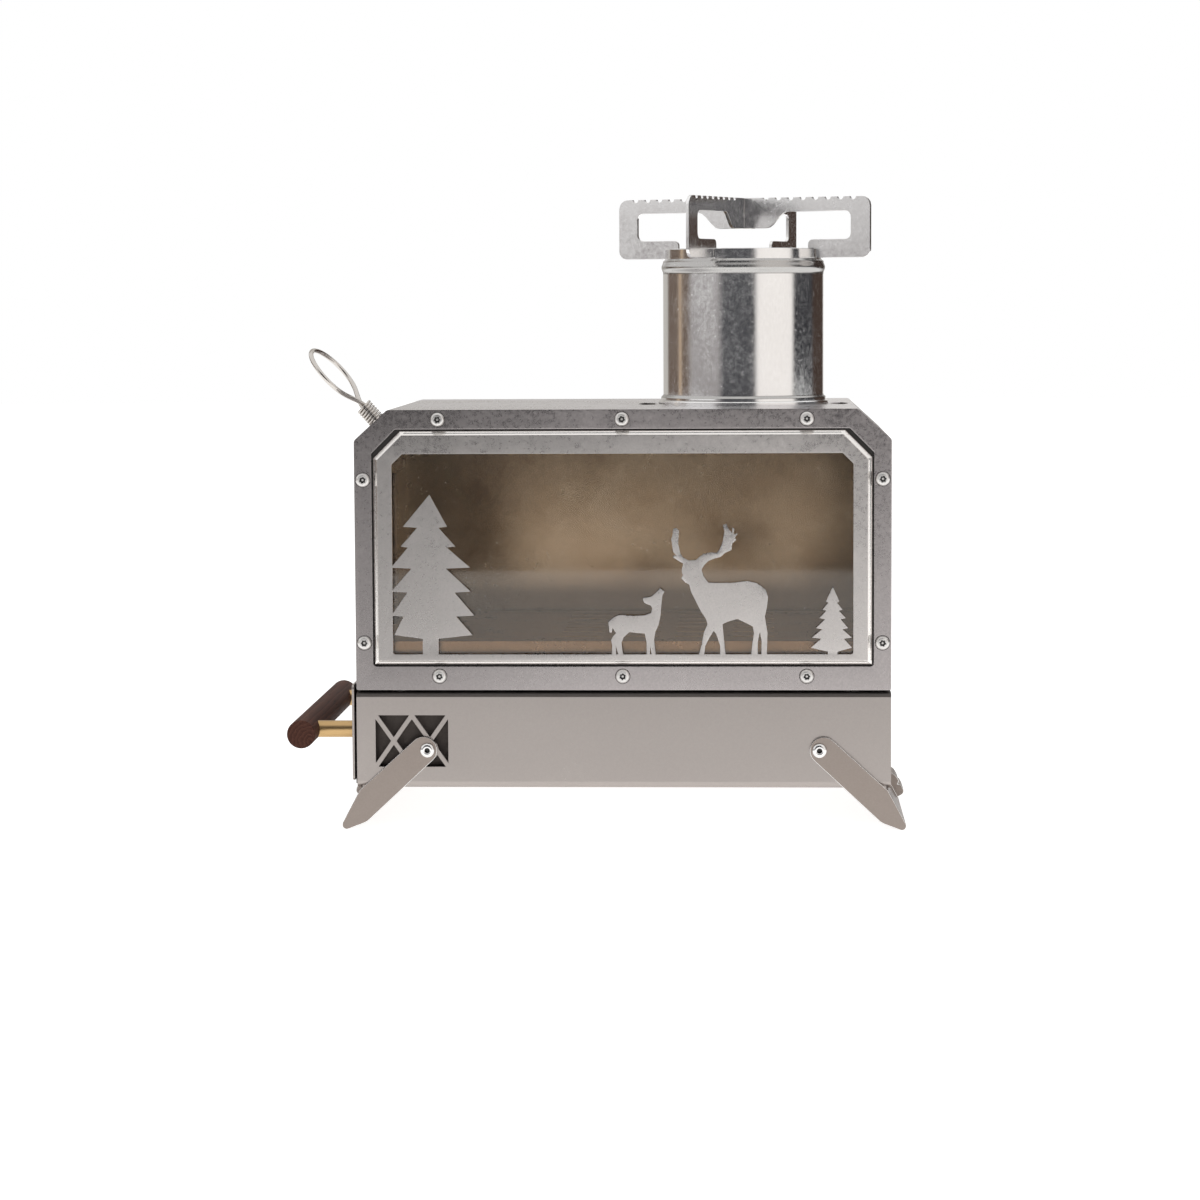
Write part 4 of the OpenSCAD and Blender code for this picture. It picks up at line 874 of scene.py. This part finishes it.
class STOVE_OT_flue(StoveOperator, bpy.types.Operator):
    """Turn the flue pipe with its rolled bead and the collar that it stands on"""

    bl_idname = "stove.flue"
    bl_label = "Flue"

    def execute(self, context):
        # In millimetres; at the ledge the bead ends and the stepped-in end begins
        low, high = (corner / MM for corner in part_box("flue_pipe"))
        foot_r, foot, rim = (high.x - low.x) / 2, low.z, high.z
        pipe_r, wall, bead, flare, ledge = foot_r - 1, 0.8, 5.4, 2.2, rim - 5.4
        neck_r = pipe_r - 1
        outer = [(foot_r, foot + 0.1), (foot_r, foot + flare * 0.5), (foot_r - 0.15, foot + flare * 0.7),
                 (pipe_r + 0.15, foot + flare * 0.95), (pipe_r, foot + flare * 1.15),
                 (pipe_r, ledge - bead - 0.2)]
        outer += [(pipe_r + 0.35 * (1 + math.cos(math.radians(d))), ledge - bead / 2 + bead * d / 360)
                  for d in range(-165, 180, 15)]
        outer += [(pipe_r, ledge), (pipe_r - 0.15, ledge + 0.12), (neck_r + 0.15, ledge + 0.75),
                  (neck_r, ledge + 0.95), (neck_r, rim - wall / 2)]
        lip = bow((neck_r - wall / 2, rim - wall / 2), wall / 2, 0, 180, 6)[1:-1]
        inner = [(r - wall, z) for r, z in reversed(outer[1:])]
        sole = [(foot_r - wall, foot + 0.1), (foot_r - wall + 0.1, foot), (foot_r - 0.1, foot)]
        bm = lathe(outer + lip + inner + sole, 128, closed=True)
        bmesh.ops.translate(bm, vec=((low.x + high.x) / 2 * MM, 0, 0), verts=bm.verts)

        # painted shade: the bead and the upward faces of the flared foot take the darker bead steel
        def painted_dark_faces(face):
            height = face.calc_center_median().z / MM
            on_bead = ledge - bead - 0.4 < height < ledge + 0.9 and abs(face.normal.z) > 0.01
            return on_bead or (height < foot + flare * 1.2 and face.normal.z > 0.2)

        add_piece("turned_flue_pipe", bm, "flue_pipe", "mirror_steel", "flue_pipe", second="bead_steel",
                  on_second=painted_dark_faces)
        dress_sheet("flue_collar", "mirror_steel", 0.1)
        dress_sheet("flue_doubler", "shell_steel", 0.1)
        return {"FINISHED"}


class STOVE_OT_pot_stand(StoveOperator, bpy.types.Operator):
    """Finish the two slotted plates of the pot stand"""

    bl_idname = "stove.pot_stand"
    bl_label = "Pot Stand"

    def execute(self, context):
        for node in ("pot_stand_lower", "pot_stand_upper"):
            dress_sheet(node, "stand_steel", 0.2)
        return {"FINISHED"}


def wire(points, radius):
    """Round wire along a smooth path, in millimetres, as a bmesh."""
    curve = bpy.data.curves.new("wire", "CURVE")
    curve.dimensions = "3D"
    curve.bevel_depth = radius * MM
    curve.bevel_resolution = 6
    curve.use_fill_caps = True
    path = curve.splines.new("POLY")
    path.points.add(len(points) - 1)
    for point, place in zip(path.points, points):
        point.co = (*place * MM, 1)
    holder = object_of("wire", curve)
    graph = bpy.context.evaluated_depsgraph_get()
    mesh = bpy.data.meshes.new_from_object(holder.evaluated_get(graph))
    bm = bmesh.new()
    bm.from_mesh(mesh)
    bpy.data.objects.remove(holder)
    bpy.data.curves.remove(curve)
    bpy.data.meshes.remove(mesh)
    bmesh.ops.remove_doubles(bm, verts=bm.verts, dist=WELD)
    bmesh.ops.recalc_face_normals(bm, faces=bm.faces)
    return bm


class STOVE_OT_door_handle(StoveOperator, bpy.types.Operator):
    """Model the fuel door's handle: washer, coil spring, stem and wire ring"""

    bl_idname = "stove.door_handle"
    bl_label = "Door Handle"

    def execute(self, context):
        # The stem stands square on the sloping corner. Sizes are in millimetres, along the stem from the
        # seat; the seat's X is the source's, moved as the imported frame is.
        lean = math.radians(42.436)
        seat = Vector((-105.5 + 10.679, -42, 170.6)) * MM
        placement = Matrix.Translation(seat) @ Matrix.Rotation(-lean, 4, "Y")
        washer_h, washer_r, bore = 0.8, 4.12, 2.3
        washer = lathe([(bore, 0), (washer_r - 0.2, 0), (washer_r, 0.15), (washer_r, washer_h - 0.2),
                        (washer_r - 0.2, washer_h), (bore, washer_h)], closed=True)
        bmesh.ops.transform(washer, matrix=placement, verts=washer.verts)
        add_piece("turned_handle_washer", washer, "fuel_door", "plain_washers", "handle_washer",
                  "bright_steel")

        turns, pitch, coil_r, steps, wire_r = 6, 1.3, 3.3, 28, sizes().spring_wire
        coil = bmesh.new()
        section = bmesh.ops.create_circle(coil, cap_ends=False, segments=12, radius=wire_r)["verts"]
        rise = math.atan2(pitch, TURN * coil_r)
        upright = Matrix.Rotation(math.pi / 2 + rise, 3, "X")
        bmesh.ops.rotate(coil, verts=section, cent=(0, 0, 0), matrix=upright)
        bmesh.ops.translate(coil, verts=section, vec=(coil_r * MM, 0, (washer_h + 0.15) * MM + wire_r))
        bmesh.ops.spin(coil, geom=coil.verts[:] + coil.edges[:], cent=(0, 0, 0), axis=(0, 0, 1),
                       dvec=(0, 0, pitch * MM / steps), angle=TURN * turns, steps=steps * turns,
                       use_merge=False, use_normal_flip=False, use_duplicate=False)
        bmesh.ops.holes_fill(coil, edges=[e for e in coil.edges if len(e.link_faces) == 1], sides=0)
        bmesh.ops.recalc_face_normals(coil, faces=coil.faces)
        bmesh.ops.transform(coil, matrix=placement, verts=coil.verts)
        add_piece("wound_spring", coil, "fuel_door", "spring_wire", "handle_spring", "wire_steel", crease=60)

        # One end of the wire rises from the stem and opens into the ring, and the other comes back to it
        ring_r, neck, wire_r, spread = 13.4, 5.2, sizes().ring_wire / MM, math.radians(26)
        top, gap = washer_h + 7.8 + 2.4, wire_r + 0.15
        centre = top + neck + ring_r * math.cos(spread)
        twist = Matrix.Rotation(math.radians(60), 3, "Z")
        root, rising = (twist @ Vector((-x, 0, top - z)) for x, z in ((gap, 2.6), (gap + 0.1, 1.0)))
        opening = Vector((-ring_r * math.sin(spread), 0, centre - ring_r * math.cos(spread)))
        side = [root, rising] + [rising.lerp(opening, k / 6) for k in range(1, 6)]
        turned = [TURN * 3 / 4 - spread - (TURN - 2 * spread) * k / 72 for k in range(73)]
        points = side + [Vector((ring_r * math.cos(a), 0, centre + ring_r * math.sin(a))) for a in turned]
        points += [Vector((-p.x, -p.y, p.z)) for p in reversed(side)]
        for _ in range(6):
            eased = [(a + 2 * b + c) / 4 for a, b, c in zip(points, points[1:], points[2:])]
            points = [points[0], *eased, points[-1]]
        ring = wire(points, wire_r)
        stem_r, foot = 2.2, -4.5
        absorb(ring, lathe([(0, foot), (stem_r - 0.25, foot), (stem_r, foot + 0.3), (stem_r, top - 1.9),
                            (stem_r - 0.25, top - 1.6), (0, top - 1.6)], 32))
        turn = Matrix.Rotation(math.radians(79), 4, "Z")
        bmesh.ops.transform(ring, matrix=placement @ turn, verts=ring.verts)
        add_piece("bent_pull_ring", ring, "fuel_door", "spring_wire", "ring_handle", "wire_steel")
        return {"FINISHED"}


class STOVE_OT_drawer_handle(StoveOperator, bpy.types.Operator):
    """Turn the drawer's brass posts and its walnut bar"""

    bl_idname = "stove.drawer_handle"
    bl_label = "Drawer Handle"

    def execute(self, context):
        placements = []
        for low, high in loose_parts("handle_posts"):
            spot = (low + high) / 2
            spot.x = high.x
            placements.append(facing(spot, (-1, 0, 0)))
            reach, post_r = (high.x - low.x) / MM, (high.z - low.z) / 2 / MM
        outline = [(0, 0), (post_r - 0.35, 0), (post_r, 0.35), (post_r, reach - 0.3), (post_r - 0.3, reach),
                   (0, reach)]
        add_piece("turned_posts", join_copies(lathe(outline), placements), "ash_drawer", "brass",
                  "handle_posts")

        low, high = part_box("handle_dowel")
        bar_r, half, bevel, rows = (high.z - low.z) / 2 / MM, (high.y - low.y) / 2 / MM, 0.9, 12
        end = [(0, half), (bar_r - 1.1, half)] + bow((bar_r - bevel, half - bevel), bevel, 80, 0, 5)
        side = [(bar_r, (half - bevel) * (1 - 2 * k / rows)) for k in range(1, rows)]
        bm = lathe(end + side + [(r, -z) for r, z in reversed(end)], 64)
        bmesh.ops.rotate(bm, verts=bm.verts, cent=(0, 0, 0), matrix=Matrix.Rotation(math.pi / 2, 3, "X"))
        bmesh.ops.translate(bm, verts=bm.verts, vec=(low + high) / 2)
        add_piece("turned_bar", bm, "ash_drawer", "walnut", "handle_dowel")
        return {"FINISHED"}


class STOVE_OT_hinge(StoveOperator, bpy.types.Operator):
    """Finish the fuel door's hinge, its jambs and its catch"""

    bl_idname = "stove.hinge"
    bl_label = "Hinge and Jambs"

    def execute(self, context):
        for node in ("fixed_hinge_leaf", "door_hinge_leaf"):
            dress_sheet(node, "satin_steel", 0.1)
        dress_sheet("hinge_pin", "bright_fasteners", 0.12, "bright_steel")
        dress_sheet("door_jambs", "shell_steel", 0.12)
        dress_sheet("door_catch", "shell_steel", 0.1)
        return {"FINISHED"}


class STOVE_OT_stage(StoveOperator, bpy.types.Operator):
    """Set the floor, the grey and white screens that the steel mirrors, the lamps and the camera"""

    bl_idname = "stove.stage"
    bl_label = "Stage"

    def execute(self, context):
        setup = context.scene.stove_stage
        self.floor()
        self.screens()
        self.sky(setup.sky)
        self.lamp("key lamp", setup.key_power, (-0.75, -1.0, 1.15), 0.9)
        self.lamp("fill lamp", setup.fill_power, (1.15, -0.7, 0.8), 0.8)
        self.camera(setup)
        return {"FINISHED"}

    def floor(self):
        bm = bmesh.new()
        bmesh.ops.create_circle(bm, cap_ends=True, segments=96, radius=6)
        board = new_board("pale floor")
        board.finish({"Base Color": (0.80, 0.80, 0.79), "Roughness": 0.9, "Specular IOR Level": 0.0})
        # It glows for rays that reach the eye, and a little more for the camera's own
        rays = board.add("ShaderNodeLightPath").outputs
        straight = board.sum(rays["Is Camera Ray"], 0.06, "MULTIPLY")
        level = board.sum(board.sum(board.seen(rays), 0.74, "MULTIPLY"), straight)
        glow = board.add("ShaderNodeEmission", {"Strength": level})
        board.show(board.add("ShaderNodeAddShader", {0: board.shader.outputs["BSDF"],
                                                     1: glow.outputs["Emission"]}))
        self.set_piece("floor", bm, board)

    def set_piece(self, name, bm, board):
        mesh = mesh_of(bm, name)
        mesh.materials.append(board.owner)
        obj = object_of(name, mesh)
        return obj

    def screens(self):
        """A ring of screens about the stove, seen only in reflections and through the glass."""
        # the angle from the front towards the right at which the screens' foot and top change, in metres
        heights = [(-142, 0, 1.5), (-79, 0, 0.45), (-34, 0, 0.30), (76, 0, 1.5), (118, 0.125, 1.0),
                   (160, 0, 1.0), (181, 0, 1.5)]
        bm = bmesh.new()
        bmesh.ops.create_circle(bm, cap_ends=False, segments=96, radius=1.45)
        feet = bm.verts[:]
        bmesh.ops.extrude_edge_only(bm, edges=bm.edges)
        for vert in bm.verts:
            degrees = math.degrees(math.atan2(vert.co.x, -vert.co.y))
            foot, top = next((foot, top) for end, foot, top in heights if degrees < end)
            vert.co.z = foot if vert in feet else top
        board = new_board("studio screens")
        angle = board.sum(board.apart("X"), board.sum(board.apart("Y"), -1.0, "MULTIPLY"), "ARCTAN2")
        ramp = board.add("ShaderNodeValToRGB", {"Fac": board.span(angle, 0, 1, -math.pi, math.pi)})
        # first and last angle of each screen, and its colour; neighbours run into one another
        bands = [(-180, -142, (0.55, 0.53, 0.50)), (-136, -108, (0.17, 0.13, 0.107)),
                 (-104, -101, (0.55, 0.42, 0.30)), (-97, -85, (0.17, 0.13, 0.107)),
                 (-79, -34, (0.36, 0.34, 0.34)), (-26, 17, (0.085, 0.085, 0.092)),
                 (23, 73, (1.0, 0.96, 0.93)), (79, 113, (0.05, 0.05, 0.055)),
                 (119, 157, (0.065, 0.045, 0.037)), (163, 180, (0.75, 0.73, 0.70))]
        tones = [(degrees, tone) for *ends, tone in bands for degrees in ends]
        stops = ramp.color_ramp.elements
        while len(stops) < len(tones):
            stops.new(0.5)
        for stop, (degrees, tone) in zip(stops, tones):
            stop.position = (degrees + 180) / 360
            stop.color = (*tone, 1)
        board.show(board.add("ShaderNodeEmission", {"Color": ramp.outputs["Color"]}))
        ring = self.set_piece("studio_screens", bm, board)
        ring.visible_camera = ring.visible_diffuse = ring.visible_shadow = False
        ring.visible_volume_scatter = False

    def sky(self, strength):
        """Even light from all round; whatever is seen of it is white."""
        world = bpy.data.worlds.new("even sky")
        bpy.context.scene.world = world
        board = Board(world, "Background")
        rays = board.add("ShaderNodeLightPath").outputs
        board.finish({"Color": (1, 1, 1), "Strength": board.span(board.seen(rays), strength, 1.0, 0, 1)})

    def lamp(self, name, power, place, size):
        light = bpy.data.lights.new(name, "AREA")
        light.energy = power
        light.size = size
        lamp = object_of(name, light)
        aim = Vector((0, 0, 0.12)) - Vector(place)  # at the middle of the stove
        lamp.matrix_world = Matrix.Translation(place) @ aim.to_track_quat("-Z", "Y").to_matrix().to_4x4()
        lamp.visible_glossy = False
        lamp.visible_camera = False

    def camera(self, setup):
        camera = bpy.data.cameras.new("camera")
        camera.lens = setup.camera_lens
        camera.sensor_width = 36
        camera.clip_start, camera.clip_end = 0.05, 50
        holder = object_of("camera", camera)
        turn, tilt, roll = setup.camera_turn
        holder.matrix_world = (Matrix.Translation(setup.camera_place) @ Matrix.Rotation(turn, 4, "Z")
                               @ Matrix.Rotation(math.pi / 2 - tilt, 4, "X") @ Matrix.Rotation(roll, 4, "Z"))
        bpy.context.scene.camera = holder
        bpy.context.scene.view_settings.view_transform = "Standard"


class STOVE_PT_panel(bpy.types.Panel):
    """The stove's pieces and settings"""

    bl_idname = "STOVE_PT_panel"
    bl_label = "Tent Stove"
    bl_space_type = "VIEW_3D"
    bl_region_type = "UI"
    bl_category = "Stove"

    def draw(self, context):
        column = self.layout.column()
        for operator in OPERATORS:
            column.operator(operator.bl_idname)
        for group in GROUPS:
            settings = getattr(context.scene, group)
            box = self.layout.box()
            for name in settings.__annotations__:
                box.prop(settings, name)


OPERATORS = (
    STOVE_OT_stage, STOVE_OT_firebox, STOVE_OT_window, STOVE_OT_fasteners, STOVE_OT_hearth, STOVE_OT_base,
    STOVE_OT_legs, STOVE_OT_flue, STOVE_OT_pot_stand, STOVE_OT_door_handle, STOVE_OT_drawer_handle,
    STOVE_OT_hinge)


def register():
    for group, settings in GROUPS.items():
        bpy.utils.register_class(settings)
        setattr(bpy.types.Scene, group, bpy.props.PointerProperty(type=settings))
    for operator in OPERATORS:
        bpy.utils.register_class(operator)
    bpy.utils.register_class(STOVE_PT_panel)


def unregister():
    bpy.utils.unregister_class(STOVE_PT_panel)
    for operator in reversed(OPERATORS):
        bpy.utils.unregister_class(operator)
    for group, settings in GROUPS.items():
        delattr(bpy.types.Scene, group)
        bpy.utils.unregister_class(settings)


def main():
    register()
    for operator in OPERATORS:
        getattr(bpy.ops.stove, operator.bl_idname.split(".")[1])()


if __name__ == "__main__":
    main()
